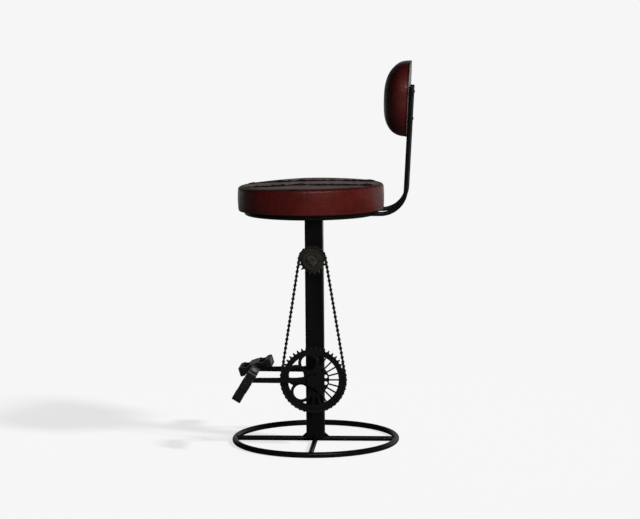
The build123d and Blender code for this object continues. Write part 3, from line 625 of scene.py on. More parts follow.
def bare_steel(settings):
    """Zinc-dull fasteners with a little soot."""
    material, finish = new_finish("bare_steel")
    patches = finish.clouds(size=0.006, detail=4.0, rough=0.6)
    brushed = finish.clouds(
        size=0.0012, detail=2.0, rough=0.6, place=finish.stretched((1.0, 0.2, 1.0)),
    )
    clean = finish.step(patches, 0.40, 0.62)
    shade = finish.blend(clean, settings.grease_colour, dimmed(settings.steel_colour, 0.55))
    finish.surface(**{
        "Base Color": shade, "Roughness": 0.36 + brushed * 0.2,
        "Metallic": 0.45 + clean * 0.45,
        "Normal": finish.bump(brushed, 0.0002, 0.4),
    })
    return material


def birch_plywood():
    """Raw board: long grain, pores and a few darker streaks."""
    material, finish = new_finish("birch_plywood")
    rings = finish.node(
        "ShaderNodeTexWave", {"wave_type": "BANDS", "bands_direction": "Y"},
        {
            "Vector": finish.stretched((0.12, 1.0, 1.0)), "Scale": 26.0,
            "Distortion": 5.0, "Detail": 3.0,
        },
    )
    fibres = finish.clouds(
        size=0.0015, detail=4.0, rough=0.6, place=finish.stretched((0.06, 1.0, 1.0)),
    )
    pale = finish.blend(rings, (0.40, 0.26, 0.14), (0.56, 0.41, 0.25))
    shade = finish.blend(finish.step(fibres, 0.5, 0.8) * 0.5, pale, (0.25, 0.15, 0.08))
    finish.surface(**{
        "Base Color": shade, "Roughness": 0.60 + fibres * 0.2,
        "Normal": finish.bump(fibres, 0.0003, 0.5),
    })
    return material


def moulded_plastic(settings):
    """Black moulded plastic with a fine spark texture and dusty scuffs."""
    material, finish = new_finish("moulded_plastic")
    spark = finish.clouds(size=0.0006, detail=2.0)
    dust = finish.clouds(size=0.014, detail=5.0, rough=0.65)
    scuffed = finish.step(dust, 0.52, 0.74)
    shade = finish.blend(scuffed * 0.6, settings.plastic_colour, (0.030, 0.029, 0.027))
    finish.surface(**{
        "Base Color": shade, "Roughness": 0.42 + scuffed * 0.22,
        "Normal": finish.bump(spark, 0.00015, 0.5),
        "Specular IOR Level": 0.45,
    })
    return material


def ribbed_reflector(settings):
    """Clear-grey reflector: small prisms under a glossy face, dulled by dirt."""
    material, finish = new_finish("ribbed_reflector")
    prisms = finish.node(
        "ShaderNodeTexVoronoi", {"feature": "F1", "distance": "MANHATTAN"},
        {"Vector": finish.place(), "Scale": 420.0, "Randomness": 0.0},
    )
    dirt = finish.clouds(size=0.008, detail=4.0, rough=0.6)
    soiled = finish.step(dirt, 0.40, 0.70)
    pale = finish.blend(prisms, settings.reflector_colour, dimmed(settings.reflector_colour, 0.55))
    shade = finish.blend(soiled * 0.55, pale, (0.05, 0.048, 0.045))
    finish.surface(**{
        "Base Color": shade, "Roughness": 0.20 + soiled * 0.30,
        "Normal": finish.bump(prisms, 0.0005, 0.6),
        "Specular IOR Level": 0.6, "Coat Weight": 0.4, "Coat Roughness": 0.1,
    })
    return material


def dress_nodes(names, material):
    """Gives frame nodes a material in place of the one that they came with."""
    for name in names:
        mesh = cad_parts[name].data
        mesh.materials.clear()
        mesh.materials.append(material)


# Mesh helpers

def new_piece(name, points, faces, material, middle=(0.0, 0.0, 0.0)):
    """A mesh piece that rides on the frame, with its points measured from a middle."""
    mesh = bpy.data.meshes.new(name)
    mesh.from_pydata([Vector(point) + Vector(middle) for point in points], [], faces)
    mesh.validate()
    mesh.update()
    mesh.polygons.foreach_set("use_smooth", [True] * len(mesh.polygons))
    mesh.materials.append(material)
    piece = bpy.data.objects.new(name, mesh)
    bpy.context.scene.collection.objects.link(piece)
    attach(piece, FRAME_BODY)
    return piece


def grid_faces(rows, columns, closed=False):
    """The quads of a grid of points, row by row; a closed grid joins its last column to its first."""
    faces = []
    wide = columns if closed else columns - 1
    for row in range(rows - 1):
        for column in range(wide):
            beside = (column + 1) % columns
            faces.append((
                row * columns + column, row * columns + beside,
                (row + 1) * columns + beside, (row + 1) * columns + column,
            ))
    return faces


def tube_points(path, radii, sides, closed):
    """Rings of points round a path, each with its own radius across and upright."""
    path = [Vector(point) for point in path]
    count = len(path)
    points = []
    for number, point in enumerate(path):
        if closed:
            ahead, behind = path[(number + 1) % count], path[number - 1]
        else:
            ahead, behind = path[min(number + 1, count - 1)], path[max(number - 1, 0)]
        along = (ahead - behind).normalized()
        up = Vector((0, 0, 1)) if abs(along.z) < 0.9 else Vector((1, 0, 0))
        across = along.cross(up).normalized()
        up = across.cross(along)
        wide, tall = radii[number]
        for side in range(sides):
            angle = 2 * math.pi * side / sides
            points.append(point + across * (wide * math.cos(angle)) + up * (tall * math.sin(angle)))
    return points


def tube_faces(rings, sides, closed):
    """The skin of a tube, with a cap on each end of an open one."""
    faces = grid_faces(rings, sides, closed=True)
    if closed:
        last = (rings - 1) * sides
        for side in range(sides):
            beside = (side + 1) % sides
            faces.append((last + side, last + beside, beside, side))
    else:
        faces.append(tuple(reversed(range(sides))))
        faces.append(tuple((rings - 1) * sides + side for side in range(sides)))
    return faces


def set_seam_and_shade(piece, nearness):
    """Stores how near each point lies to a seam, from 0 to 1, and on the back pad also its painted
    shade.
    """
    attribute = piece.data.attributes.new("seam", "FLOAT", "POINT")
    attribute.data.foreach_set("value", np.asarray(nearness, np.float32))


def swell(piece, held, pressure, limit):
    """Fills a hide from below by cloth simulation, held at its seams, and keeps that shape."""
    scene = bpy.context.scene
    start = np.array([vertex.co for vertex in piece.data.vertices])
    group = piece.vertex_groups.new(name="held")
    group.add([int(number) for number in held], 1.0, "REPLACE")
    cloth = piece.modifiers.new("filling", "CLOTH")
    cloth.settings.quality = 6
    cloth.settings.mass = 0.35
    cloth.settings.tension_stiffness = 18
    cloth.settings.compression_stiffness = 18
    cloth.settings.shear_stiffness = 9
    cloth.settings.bending_stiffness = 3
    cloth.settings.use_pressure = True
    cloth.settings.uniform_pressure_force = pressure
    cloth.settings.vertex_group_mass = group.name
    cloth.settings.effector_weights.gravity = 0
    cloth.collision_settings.use_collision = False
    cloth.point_cache.frame_start = 1
    cloth.point_cache.frame_end = CLOTH_FRAMES
    for moment in range(1, CLOTH_FRAMES + 1):
        scene.frame_set(moment)
    evaluated = piece.evaluated_get(bpy.context.evaluated_depsgraph_get())
    swollen = np.array([vertex.co for vertex in evaluated.data.vertices])
    moved = swollen - start
    length = np.linalg.norm(moved, axis=1, keepdims=True)
    capped = limit * np.tanh(length / limit) / np.maximum(length, 1e-9)
    piece.modifiers.remove(cloth)
    piece.vertex_groups.remove(group)
    scene.frame_set(1)
    piece.data.vertices.foreach_set("co", (start + moved * capped).astype(np.float32).ravel())
    piece.data.update()


def thicken(piece, thickness, levels=1):
    """Gives a hide its thickness, inwards, and smooths it."""
    if levels:
        smooth = piece.modifiers.new("smooth", "SUBSURF")
        smooth.levels = levels
        smooth.render_levels = levels
    solid = piece.modifiers.new("thickness", "SOLIDIFY")
    solid.thickness = thickness
    solid.offset = -1


def add_skin(points, faces, more, skin):
    """Adds a skin's points and faces to those of a piece."""
    first = len(points)
    points += more
    faces += [tuple(first + corner for corner in face) for face in skin]


def ripple(point, size, seed=0.0):
    """Smooth noise at a point, from about -1 to 1."""
    return noise.noise(Vector(point) / size + Vector((seed, seed * 1.7, -seed)))


# Seat

def seat_sizes(settings):
    """Heights and radii of the seat's parts."""
    radius = seat_size.x / 2
    seam_drop = 0.0008
    return {
        "radius": radius,
        "low": seat_low.z,
        "seam_radius": radius - settings.rim_round,
        "seam_height": seat_high.z - seam_drop,
        "crown": settings.crown,
        "droop": settings.front_droop,
    }


def droop(sizes, x):
    """How far the top lies lower at a place towards the seat's front."""
    share = max(0.0, min(1.0, -x / sizes["seam_radius"]))
    return sizes["droop"] * share * share * (3 - 2 * share)


def top_height(sizes, x, y):
    """Height of the smooth top at a place."""
    share = (x * x + y * y) / (sizes["seam_radius"] ** 2)
    return sizes["seam_height"] + sizes["crown"] * (1 - min(share, 1.0)) - droop(sizes, x)


def roll_down(distance, rounding, depth):
    """How far a hide has turned down at a distance from its sewn edge."""
    if distance >= rounding:
        return 0.0
    share = 1 - distance / rounding
    return depth * (1 - math.sqrt(max(0.0, 1 - share * share)))


def graded(first, last, count, edge):
    """Places between two ends, closer together near both."""
    places = []
    for number in range(count):
        share = number / (count - 1)
        bent = 0.5 - 0.5 * math.cos(math.pi * share)
        places.append(first + (last - first) * (share * (1 - edge) + bent * edge))
    return places


def make_strip(name, settings, sizes, y_from, y_to, material):
    """One strip of the seat's top, turned down into its seams."""
    rows, columns = 44, 96
    rim_dip, join_dip = 0.0032, 0.0038
    pucker_height, dent_height = 0.0009, 0.0012
    joins = (-settings.strip_width / 2, settings.strip_width / 2)
    points, held, nearness = [], [], []
    outer = sizes["seam_radius"]
    for row, y in enumerate(graded(y_from, y_to, rows, 0.75)):
        reach = math.sqrt(max(outer * outer - y * y, 1e-8))
        for column, share in enumerate(graded(-1.0, 1.0, columns, 0.7)):
            x = reach * share
            from_rim = outer - math.hypot(x, y)
            from_join = min(abs(y - join) for join in joins)
            height = top_height(sizes, x, y)
            height -= roll_down(from_rim, settings.edge_roll, rim_dip)
            height -= roll_down(from_join, settings.edge_roll, join_dip)
            pucker = math.exp(-from_join / 0.016) * ripple((x, 0, 0), 0.011, 3.0)
            along_rim = math.atan2(y, x) * outer
            pucker += 0.8 * math.exp(-from_rim / 0.014) * ripple((along_rim, 0, 0), 0.013, 7.0)
            height += pucker_height * pucker + dent_height * ripple((x, y, 0), 0.075, 1.0)
            points.append((x, y, height))
            nearness.append(math.exp(-min(from_rim, from_join) / 0.0045))
            if row in (0, rows - 1) or column in (0, columns - 1):
                held.append(len(points) - 1)
    piece = new_piece(name, points, grid_faces(rows, columns), material, seat_axis)
    swell(piece, held, settings.puff_pressure, settings.puff_limit)
    set_seam_and_shade(piece, nearness)
    thicken(piece, HIDE_THICKNESS)
    return piece


def band_profile(settings, sizes):
    """Radius and height along the seat's side: lower edge, hem, rim and into the rim's seam."""
    radius, low = sizes["radius"], sizes["low"]
    top = sizes["seam_height"] + 0.0006
    rounding = settings.rim_round
    hem = low + settings.hem_height
    inset, bulge, over_hem, roll_gap = 0.0011, 0.0009, 0.003, 0.0008
    side_steps, rim_steps = 15, 8
    side = [
        (radius - 0.0042, low + 0.0004), (radius - 0.0026, low + 0.0006),
        (radius - 0.0017, low + 0.0022), (radius - 0.0013, hem - 0.0030),
        (radius - 0.0013, hem - 0.0010), (radius - 0.0016, hem),
        (radius - 0.0014, hem + 0.0012), (radius - inset, hem + 0.0034),
    ]
    shoulder = top - rounding
    for number in range(1, side_steps):
        share = number / side_steps
        height = hem + over_hem + (shoulder - hem - over_hem) * share
        side.append((radius - inset + bulge * math.sin(math.pi * share), height))
    for number in range(rim_steps + 1):
        angle = math.pi / 2 * number / rim_steps
        inward = rounding - roll_gap
        side.append((
            radius - inset - inward * (1 - math.cos(angle)), shoulder + rounding * math.sin(angle),
        ))
    last_radius = radius - inset - rounding + roll_gap
    side += [(last_radius - 0.0008, top - 0.0006), (last_radius - 0.0012, top - 0.0022)]
    return side


def make_band(settings, sizes, material):
    """The hide round the side, gathered a little at the rim and joined by one upright seam."""
    columns = 288
    profile = band_profile(settings, sizes)
    rows = len(profile)
    hem_rows, seam_rows = 8, 2
    low, top = sizes["low"], sizes["seam_height"]
    hem = low + settings.hem_height
    join_angle = -math.pi / 2
    points, held, nearness = [], [], []
    for row, (radius, height) in enumerate(profile):
        for column in range(columns):
            angle = 2 * math.pi * column / columns
            turn = (angle - join_angle + math.pi) % (2 * math.pi) - math.pi
            from_join = abs(turn) * sizes["radius"]
            share = (height - low) / (top - low)
            along = angle * sizes["radius"]
            gathered = 0.0010 * math.exp(-(1 - share) / 0.16)
            fold = gathered * ripple((along, 0, share * 0.02), 0.012, 5.0)
            fold += 0.0006 * ripple((along, 0, height), 0.05, 9.0)
            groove = 0.0006 * math.exp(-(from_join / 0.0016) ** 2)
            swollen = 0.0006 * math.exp(-((from_join - 0.007) / 0.004) ** 2)
            swollen *= 0.3 + 0.7 * share ** 6
            out = radius + fold - groove + swollen
            sunk = height - droop(sizes, out * math.cos(angle)) * max(0.0, share) ** 2
            points.append((out * math.cos(angle), out * math.sin(angle), sunk))
            nearness.append(max(
                math.exp(-abs(height - hem) / 0.0016) * 0.7, math.exp(-from_join / 0.0014) * 0.4,
                math.exp(-max(0.0, top - height) / 0.0028) * 0.9, math.exp(-(height - low) / 0.0025),
            ))
            if row < hem_rows or row >= rows - seam_rows:
                held.append(len(points) - 1)
    faces = grid_faces(rows, columns, closed=True)
    piece = new_piece("seat_side", points, faces, material, seat_axis)
    swell(piece, held, settings.puff_pressure, settings.puff_limit)
    set_seam_and_shade(piece, nearness)
    thicken(piece, HIDE_THICKNESS)
    return piece


def make_top_seam(name, settings, sizes, y, material):
    """A folded edge that stands up along a join of the top, uneven as hand sewing leaves it."""
    count, sides = 150, 10
    reach = math.sqrt(sizes["seam_radius"] ** 2 - y * y) - 0.0015
    path, radii = [], []
    for share in graded(-1.0, 1.0, count, 0.35):
        x = reach * share
        wander = 0.0013 * ripple((x, y, 0), 0.022, 2.0) + 0.0008 * ripple((x, y, 0), 0.007, 4.0)
        lift = 1.0 + 0.55 * ripple((x, y, 0), 0.017, 6.0) + 0.35 * ripple((x, y, 0), 0.0075, 8.0)
        fade = min(1.0, (1 - abs(share)) / 0.06)
        tall = settings.seam_height * lift * (0.35 + 0.65 * fade)
        base = top_height(sizes, x, y) - 0.0030
        path.append((x, y + wander, base + tall / 2))
        radii.append((settings.seam_width / 2 * (0.8 + 0.35 * lift * 0.5), tall / 2 + 0.0022))
    points = tube_points(path, radii, sides, False)
    skin = tube_faces(count, sides, False)
    return new_piece(name, points, skin, material, seat_axis)


def ring_path(radius, height, count, rough=0.0, seed=0.0):
    """Points round a level ring, a little uneven."""
    path = []
    for number in range(count):
        angle = 2 * math.pi * number / count
        uneven = rough * ripple((radius * angle, 0, 0), 0.016, seed)
        reach = radius + uneven
        path.append((reach * math.cos(angle), reach * math.sin(angle), height + uneven))
    return path


def stitch(centre, along, out, length, width):
    """The points of one stitch: a low arch of thread whose ends dip into the hide."""
    across = along.cross(out).normalized()
    rings, sides = 6, 6
    points = []
    for ring in range(rings):
        share = ring / (rings - 1)
        arch = math.sin(math.pi * share)
        middle = centre + along * (length * (share - 0.5)) + out * (width * (0.9 * arch - 0.55))
        wide = width * (0.35 + 0.25 * arch)
        for side in range(sides):
            angle = 2 * math.pi * side / sides
            points.append(middle + across * (wide * math.cos(angle)) + out * (wide * math.sin(angle)))
    return points, tube_faces(rings, sides, False)


def make_stitches(name, places, length, width, material):
    """Many stitches in one piece; a place is a centre, a direction and the way out of the hide."""
    points, faces = [], []
    for centre, along, out in places:
        add_skin(points, faces, *stitch(centre, along, out, length, width))
    return new_piece(name, points, faces, material, seat_axis)


def hem_stitch_places(settings, sizes):
    """Where the stitches of the hem sit, all round the seat."""
    radius = sizes["radius"] - 0.0022
    count = round(2 * math.pi * radius / settings.stitch_step)
    places = []
    for number in range(count):
        angle = 2 * math.pi * number / count
        out = Vector((math.cos(angle), math.sin(angle), 0))
        along = Vector((-math.sin(angle), math.cos(angle), 0))
        places.append((out * radius + Vector((0, 0, sizes["low"] + settings.hem_height)), along, out))
    return places


def make_turned_edge(settings, sizes, material):
    """The hide's lower edge, turned under the board and pleated."""
    columns = 240
    radius, low = sizes["radius"], sizes["low"]
    steps = (
        (radius - 0.0040, low + 0.0010), (radius - 0.0036, low - 0.0006),
        (radius - 0.0060, low - 0.0010), (radius - 0.0105, low - 0.0009),
        (radius - 0.0150, low - 0.0007), (radius - 0.0156, low + 0.0002),
    )
    points = []
    for number, (ring, height) in enumerate(steps):
        for column in range(columns):
            angle = 2 * math.pi * column / columns
            ragged = 0.0011 * ripple((angle * radius, 0, 0), 0.008, 11.0) if number >= 3 else 0.0
            reach = ring + ragged
            points.append((reach * math.cos(angle), reach * math.sin(angle), height))
    faces = grid_faces(len(steps), columns, closed=True)
    piece = new_piece("seat_turned_edge", points, faces, material, seat_axis)
    set_seam_and_shade(piece, [0.4] * len(points))
    thicken(piece, PARED_THICKNESS, 0)
    return piece


class STOOL_OT_upholster_seat(bpy.types.Operator):
    """Sew the seat: three strips on top, a side band, raised seams, a hem and their stitches"""

    bl_idname = "stool.upholster_seat"
    bl_label = "Upholster the seat"

    def execute(self, context):
        settings = context.scene.stool.seat
        hide = context.scene.stool.leather
        leather, edge, thread = oxblood_leather(hide), seam_leather(hide), waxed_thread(hide)
        sizes = seat_sizes(settings)
        join = settings.strip_width / 2
        outer = sizes["seam_radius"]
        left = make_strip("seat_strip_left", settings, sizes, -outer, -join, leather)
        middle = make_strip("seat_strip_middle", settings, sizes, -join, join, leather)
        right = make_strip("seat_strip_right", settings, sizes, join, outer, leather)
        band = make_band(settings, sizes, leather)
        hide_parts("seat_left_strip")
        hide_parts("seat_middle_strip", "seat_foam")
        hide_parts("seat_right_strip")
        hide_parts("seat_band")
        make_top_seam("seat_seam_left", settings, sizes, -join, edge)
        make_top_seam("seat_seam_right", settings, sizes, join, edge)
        count, sides, cord_radii = 320, 8, (0.0012, 0.0014)
        rim = ring_path(outer - 0.0008, sizes["seam_height"] - 0.0012, count, 0.0004, 12.0)
        rim = [(x, y, height - droop(sizes, x)) for x, y, height in rim]
        points = tube_points(rim, [cord_radii] * count, sides, True)
        skin = tube_faces(count, sides, True)
        new_piece("seat_rim_cord", points, skin, edge, seat_axis)
        places = hem_stitch_places(settings, sizes)
        make_stitches("seat_hem_stitches", places, settings.stitch_length, THREAD_WIDTH, thread)
        make_turned_edge(settings, sizes, edge)
        dress_nodes(("seat_board",), birch_plywood())
        return {"FINISHED"}


# Back

def back_axes(settings):
    """The back's axes across, up along the rods and forward, and its middle on the rods' side."""
    lean = settings.lean
    forward = Vector((-math.cos(lean), 0, math.sin(lean)))
    up = Vector((math.sin(lean), 0, math.cos(lean)))
    across = Vector((0, -1, 0))
    corners = [Vector(vertex.co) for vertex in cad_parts["back_panel"].data.vertices]
    rear = min(corner.dot(forward) for corner in corners)
    lowest = min(corner.dot(up) for corner in corners)
    middle = forward * rear + up * (lowest + settings.height / 2)
    return across, up, forward, middle


def rounded_outline(width, height, corner, count):
    """Points round a rounded rectangle, evenly spaced, from the middle of its right side."""
    straight_x, straight_y = width - 2 * corner, height - 2 * corner
    quarter = math.pi / 2 * corner
    total = 2 * (straight_x + straight_y) + 4 * quarter
    points = []
    for number in range(count):
        run = total * number / count
        x, y, heading = width / 2, -straight_y / 2, math.pi / 2
        for length, bend in ((straight_y, 0), (quarter, 1), (straight_x, 0), (quarter, 1)) * 2:
            part = min(run, length)
            if bend:
                centre_x = x - corner * math.sin(heading)
                centre_y = y + corner * math.cos(heading)
                turned = heading + part / corner
                x = centre_x + corner * math.sin(turned)
                y = centre_y - corner * math.cos(turned)
                heading = turned
            else:
                x += part * math.cos(heading)
                y += part * math.sin(heading)
            run -= part
            if run <= 0:
                break
        points.append((x, y))
    return points


def pad_depth(settings, share):
    """The pad's depth at a share of the way from its edge to its middle."""
    power = settings.fullness
    return settings.depth * (1 - (1 - share) ** power) ** (1 / power)


def make_back_pad(settings, material):
    """The stuffed front of the back: one hide over a deep crowned pad and the panel's edge; its front
    bears painted shade.
    """
    across, up, forward, middle = back_axes(settings)
    columns, rings, held_rings = 200, 40, 4
    gather_height, dent_height = 0.0005, 0.0011
    # Painted shade on the pad: height of its lightest spot, how far it takes to reach full, and the
    # weight of height.
    unshaded_spot_height, shade_ramp_reach, upright_share = 0.16, 0.7, 1.3
    outline = rounded_outline(settings.width, settings.height, settings.corner, columns)
    shares = [(1 - math.cos(math.pi / 2 * ring / (rings - 1))) for ring in range(rings)]
    spine = settings.width / 2 - settings.corner
    points, held, nearness = [], [], []
    for ring, share in enumerate(shares):
        for column, (x, y) in enumerate(outline):
            inner_x = max(-spine, min(spine, x))
            spot_x = x + (inner_x - x) * share
            spot_y = y * (1 - share)
            run = column / columns * 2 * (settings.width + settings.height)
            depth = pad_depth(settings, share)
            gathered = math.exp(-share / 0.10) * min(1.0, share / 0.02)
            depth += gather_height * gathered * ripple((run, share * 0.05, 0), 0.016, 21.0)
            depth += dent_height * ripple((spot_x, spot_y, 0), 0.06, 23.0) * min(1.0, share * 3)
            points.append(middle + across * spot_x + up * spot_y + forward * (depth + 0.0004))
            # Painted shade: darker to the pad's front, top and bottom; lightest at the rear edge just
            # above the middle.
            upright = upright_share * (spot_y / settings.height - unshaded_spot_height)
            rubbed = min(1.0, math.hypot(depth / settings.depth, upright) / shade_ramp_reach)
            # The seam attribute takes the dark rear edge or the painted shade, whichever is darker.
            nearness.append(max(math.exp(-depth / 0.0022), settings.painted_front_shade * rubbed))
            if ring < held_rings:
                held.append(len(points) - 1)
    faces = grid_faces(rings, columns, closed=True) + seam_faces((rings - 1) * columns, columns)
    piece = new_piece("back_pad", points, faces, material)
    swell(piece, held, settings.puff_pressure, settings.puff_limit)
    set_seam_and_shade(piece, nearness)
    thicken(piece, HIDE_THICKNESS)
    return piece


def seam_faces(first, columns):
    """Quads that join the two halves of a ring of points across its middle."""
    last = first + columns - 1
    return [
        (first + number, first + number + 1, last - number - 1, last - number)
        for number in range(columns // 2 - 1)
    ]


def make_back_rear(settings, material):
    """The hide on the back of the panel, set in a little from the pad's edge and rounded into it."""
    across, up, forward, middle = back_axes(settings)
    columns = 200
    rows = (
        (0.020, 0.0003), (0.0060, 0.0003), (0.0034, 0.0005),
        (0.0022, 0.0014), (0.0020, 0.0040), (0.0035, 0.0060),
    )
    points, nearness = [], []
    for inset, depth in rows:
        outline = rounded_outline(
            settings.width - 2 * inset, settings.height - 2 * inset, settings.corner - inset, columns
        )
        for x, y in outline:
            points.append(middle + across * x + up * y + forward * depth)
            nearness.append(min(1.0, depth / 0.003))
    faces = grid_faces(len(rows), columns, closed=True)
    faces += [tuple(reversed(face)) for face in seam_faces(0, columns)]
    faces += seam_faces((len(rows) - 1) * columns, columns)
    piece = new_piece("back_rear", points, faces, material)
    set_seam_and_shade(piece, nearness)
    return piece


def make_back_cord(settings, material):
    """The thin cord along the pad's rear edge."""
    across, up, forward, middle = back_axes(settings)
    inset = settings.cord / 2
    outline = rounded_outline(
        settings.width - inset, settings.height - inset, settings.corner - inset / 2, 260
    )
    path = [middle + across * x + up * y + forward * settings.cord for x, y in outline]
    uneven = [1 + 0.15 * ripple(point, 0.012, 31.0) for point in path]
    radii = [(settings.cord * share, settings.cord) for share in uneven]
    skin = tube_faces(len(path), 8, True)
    return new_piece("back_cord", tube_points(path, radii, 8, True), skin, material)


class STOOL_OT_upholster_back(bpy.types.Operator):
    """Stuff and cover the backrest: pad, rear hide and the cord between them"""

    bl_idname = "stool.upholster_back"
    bl_label = "Upholster the back"

    def execute(self, context):
        settings = context.scene.stool.back
        leather = bpy.data.materials["oxblood_leather"]
        pad = make_back_pad(settings, leather)
        rear = make_back_rear(settings, leather)
        make_back_cord(settings, bpy.data.materials["seam_leather"])
        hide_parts("back_cover", "back_foam")
        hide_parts("back_panel")
        return {"FINISHED"}


# Frame and drive

def bead(name, paths, settings, material):
    """Weld beads along closed paths, rippled as they were laid."""
    points, faces = [], []
    sides = 8
    for path in paths:
        run, radii = 0.0, []
        for number, point in enumerate(path):
            wave = 0.5 + 0.5 * math.cos(2 * math.pi * run / settings.bead_ripple)
            wide = settings.bead_radius * (0.82 + 0.22 * wave + 0.15 * ripple(point, 0.007, 41.0))
            radii.append((wide, wide))
            run += (Vector(path[(number + 1) % len(path)]) - Vector(point)).length
        skin = tube_faces(len(path), sides, True)
        add_skin(points, faces, tube_points(path, radii, sides, True), skin)
    for point in points:
        point.z = max(point.z, cad_low.z + FLOOR_GAP)
    return new_piece(name, points, faces, material)


def coped_joint(ring_node, bar_node, turns):
    """The lines along which a ring and the bars inside it meet, one for each turn."""
    middle, size = middle_and_size(ring_node)
    bar = min(middle_and_size(bar_node)[1]) / 2
    ring_bar = bar + CROSS_STEP if ring_node == "base_ring" else size.z / 2
    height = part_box(ring_node)[1].z - ring_bar
    line = size.x / 2 - ring_bar
    count = 48
    paths = []
    for turn in turns:
        spin = Matrix.Rotation(turn, 3, "Z")
        path = []
        for number in range(count):
            angle = 2 * math.pi * number / count
            y, z = bar * math.cos(angle), bar * math.sin(angle)
            reach = line - math.sqrt(ring_bar * ring_bar - z * z)
            spot = Vector((math.sqrt(reach * reach - y * y), y, height + z))
            path.append(spin @ spot + Vector((middle.x, 0, 0)))
        paths.append(path)
    return paths


def circle_y(radius, y, z, count=64):
    """Points round a circle that faces along Y."""
    angles = [2 * math.pi * number / count for number in range(count)]
    return [(radius * math.cos(angle), y, z + radius * math.sin(angle)) for angle in angles]


class STOOL_OT_paint_frame(bpy.types.Operator):
    """Paint the base, post, seat frame and back rods, and lay their weld beads"""

    bl_idname = "stool.paint_frame"
    bl_label = "Paint the frame"

    def execute(self, context):
        settings = context.scene.stool.metal
        paint = black_paint(settings)
        dress_nodes(FRAME_NODES, paint)
        quarter_turns = [math.pi / 2 * number for number in range(4)]
        base_joints = coped_joint("base_ring", "base_long_bar", quarter_turns)
        bead("base_welds", base_joints, settings, paint)
        seat_joints = coped_joint("seat_ring", "seat_long_bar", quarter_turns)
        bead("seat_frame_welds", seat_joints, settings, paint)
        post_low, post_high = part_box("post_tube")
        side = post_high.x - post_low.x
        loops = []
        for node, face in (("bracket_shell", -1), ("bracket_shell", 1), ("freewheel_stub", -1)):
            middle, size = middle_and_size(node)
            loops.append(circle_y(size.z / 2 + WELD_SEAT, face * side / 2, middle.z))
        bead("post_welds", loops, settings, paint)
        return {"FINISHED"}


class STOOL_OT_finish_drive(bpy.types.Operator):
    """Finish the cranks, chainring, chain, freewheel and fasteners"""

    bl_idname = "stool.finish_drive"
    bl_label = "Finish the drive"

    def execute(self, context):
        settings = context.scene.stool.metal
        dress_nodes(DRIVE_NODES, drive_paint(settings))
        dress_nodes(CHAIN_NODES, oily_chain(settings))
        dress_nodes(FREEWHEEL_NODES, worn_steel(settings))
        dress_nodes(FASTENER_NODES, bare_steel(settings))
        return {"FINISHED"}


class STOOL_OT_finish_pedals(bpy.types.Operator):
    """Finish the pedals and their reflectors"""

    bl_idname = "stool.finish_pedals"
    bl_label = "Finish the pedals"

    def execute(self, context):
        settings = context.scene.stool.pedals
        dress_nodes(PEDAL_NODES, moulded_plastic(settings))
        dress_nodes(REFLECTOR_NODES, ribbed_reflector(settings))
        return {"FINISHED"}


# Stage

def pale_floor(settings):
    """A plain pale floor that takes soft shadows near the stool and fades into the backdrop."""
    material, finish = new_finish("pale_floor")
    plain = finish.node("ShaderNodeBsdfDiffuse", None, {"Color": (0.25, 0.25, 0.25, 1.0)})
    pale = finish.node("ShaderNodeBsdfDiffuse", None, {"Color": (settings.floor_shade,) * 3 + (1.0,)})
    glow = finish.node("ShaderNodeEmission", None, {"Color": WHITE, "Strength": settings.floor_glow})
    near = finish.node("ShaderNodeAddShader", None, {0: pale, 1: glow})
    far = finish.node("ShaderNodeEmission", None, {"Color": WHITE, "Strength": settings.backdrop})
    reach = finish.node(
        "ShaderNodeVectorMath", {"operation": "LENGTH"}, {0: finish.place()}, output=1
    )
    uneven = finish.clouds(size=0.5, detail=3.0)
    fade_from, fade_to = 0.9, 2.0
    away = finish.step(reach + uneven * 0.2, fade_from, fade_to)
    shown = finish.node("ShaderNodeMixShader", None, {0: away, 1: near, 2: far})
    across, depth = (
        finish.node("ShaderNodeSeparateXYZ", None, {0: finish.place()}, output=axis)
        for axis in range(2)
    )
    sweep_from, sweep_to = 4.2, 5.5
    behind = finish.step(depth + across * 0.33, sweep_from, sweep_to)
    mirrored = finish.node("ShaderNodeMixShader", None, {0: behind, 1: plain, 2: far})
    seen = finish.node("ShaderNodeLightPath", output=0)
    mixed = finish.node("ShaderNodeMixShader", None, {0: seen, 1: mirrored, 2: shown})
    finish.node("ShaderNodeOutputMaterial", None, {"Surface": mixed})
    return material


def make_floor(settings):
    """A wide level floor just under the base."""
    size = 30.0
    corners = [(-size, -size, 0), (size, -size, 0), (size, size, 0), (-size, size, 0)]
    mesh = bpy.data.meshes.new("floor")
    mesh.from_pydata(corners, [], [(0, 1, 2, 3)])
    mesh.materials.append(pale_floor(settings))
    floor = bpy.data.objects.new("floor", mesh)
    floor.location.z = cad_low.z - FLOOR_GAP
    bpy.context.scene.collection.objects.link(floor)
    return floor


def make_light(name, place, aim, size, power):
    """A soft rectangular lamp that faces a point."""
    lamp = bpy.data.lights.new(name, "AREA")
    lamp.shape = "RECTANGLE"
    lamp.size, lamp.size_y = size
    lamp.energy = power
    light = bpy.data.objects.new(name, lamp)
    light.location = place
    light.rotation_euler = (Vector(aim) - Vector(place)).to_track_quat("-Z", "Y").to_euler()
    bpy.context.scene.collection.objects.link(light)
    return light


def make_sun(name, place, strength):
    """An even light from far off, in the direction of a place, that only leaves soft shadows."""
    lamp = bpy.data.lights.new(name, "SUN")
    lamp.energy = strength
    lamp.angle = math.radians(7)
    light = bpy.data.objects.new(name, lamp)
    light.rotation_euler = (-Vector(place)).to_track_quat("-Z", "Y").to_euler()
    bpy.context.scene.collection.objects.link(light)
    return light


def round_the_stool(azimuth, elevation, distance, height):
    """A place in degrees round the stool, 0 at its left side, and in degrees up."""
    azimuth, elevation = math.radians(azimuth), math.radians(elevation)
    flat = distance * math.cos(elevation)
    rise = distance * math.sin(elevation)
    return (flat * math.sin(azimuth), -flat * math.cos(azimuth), height + rise)


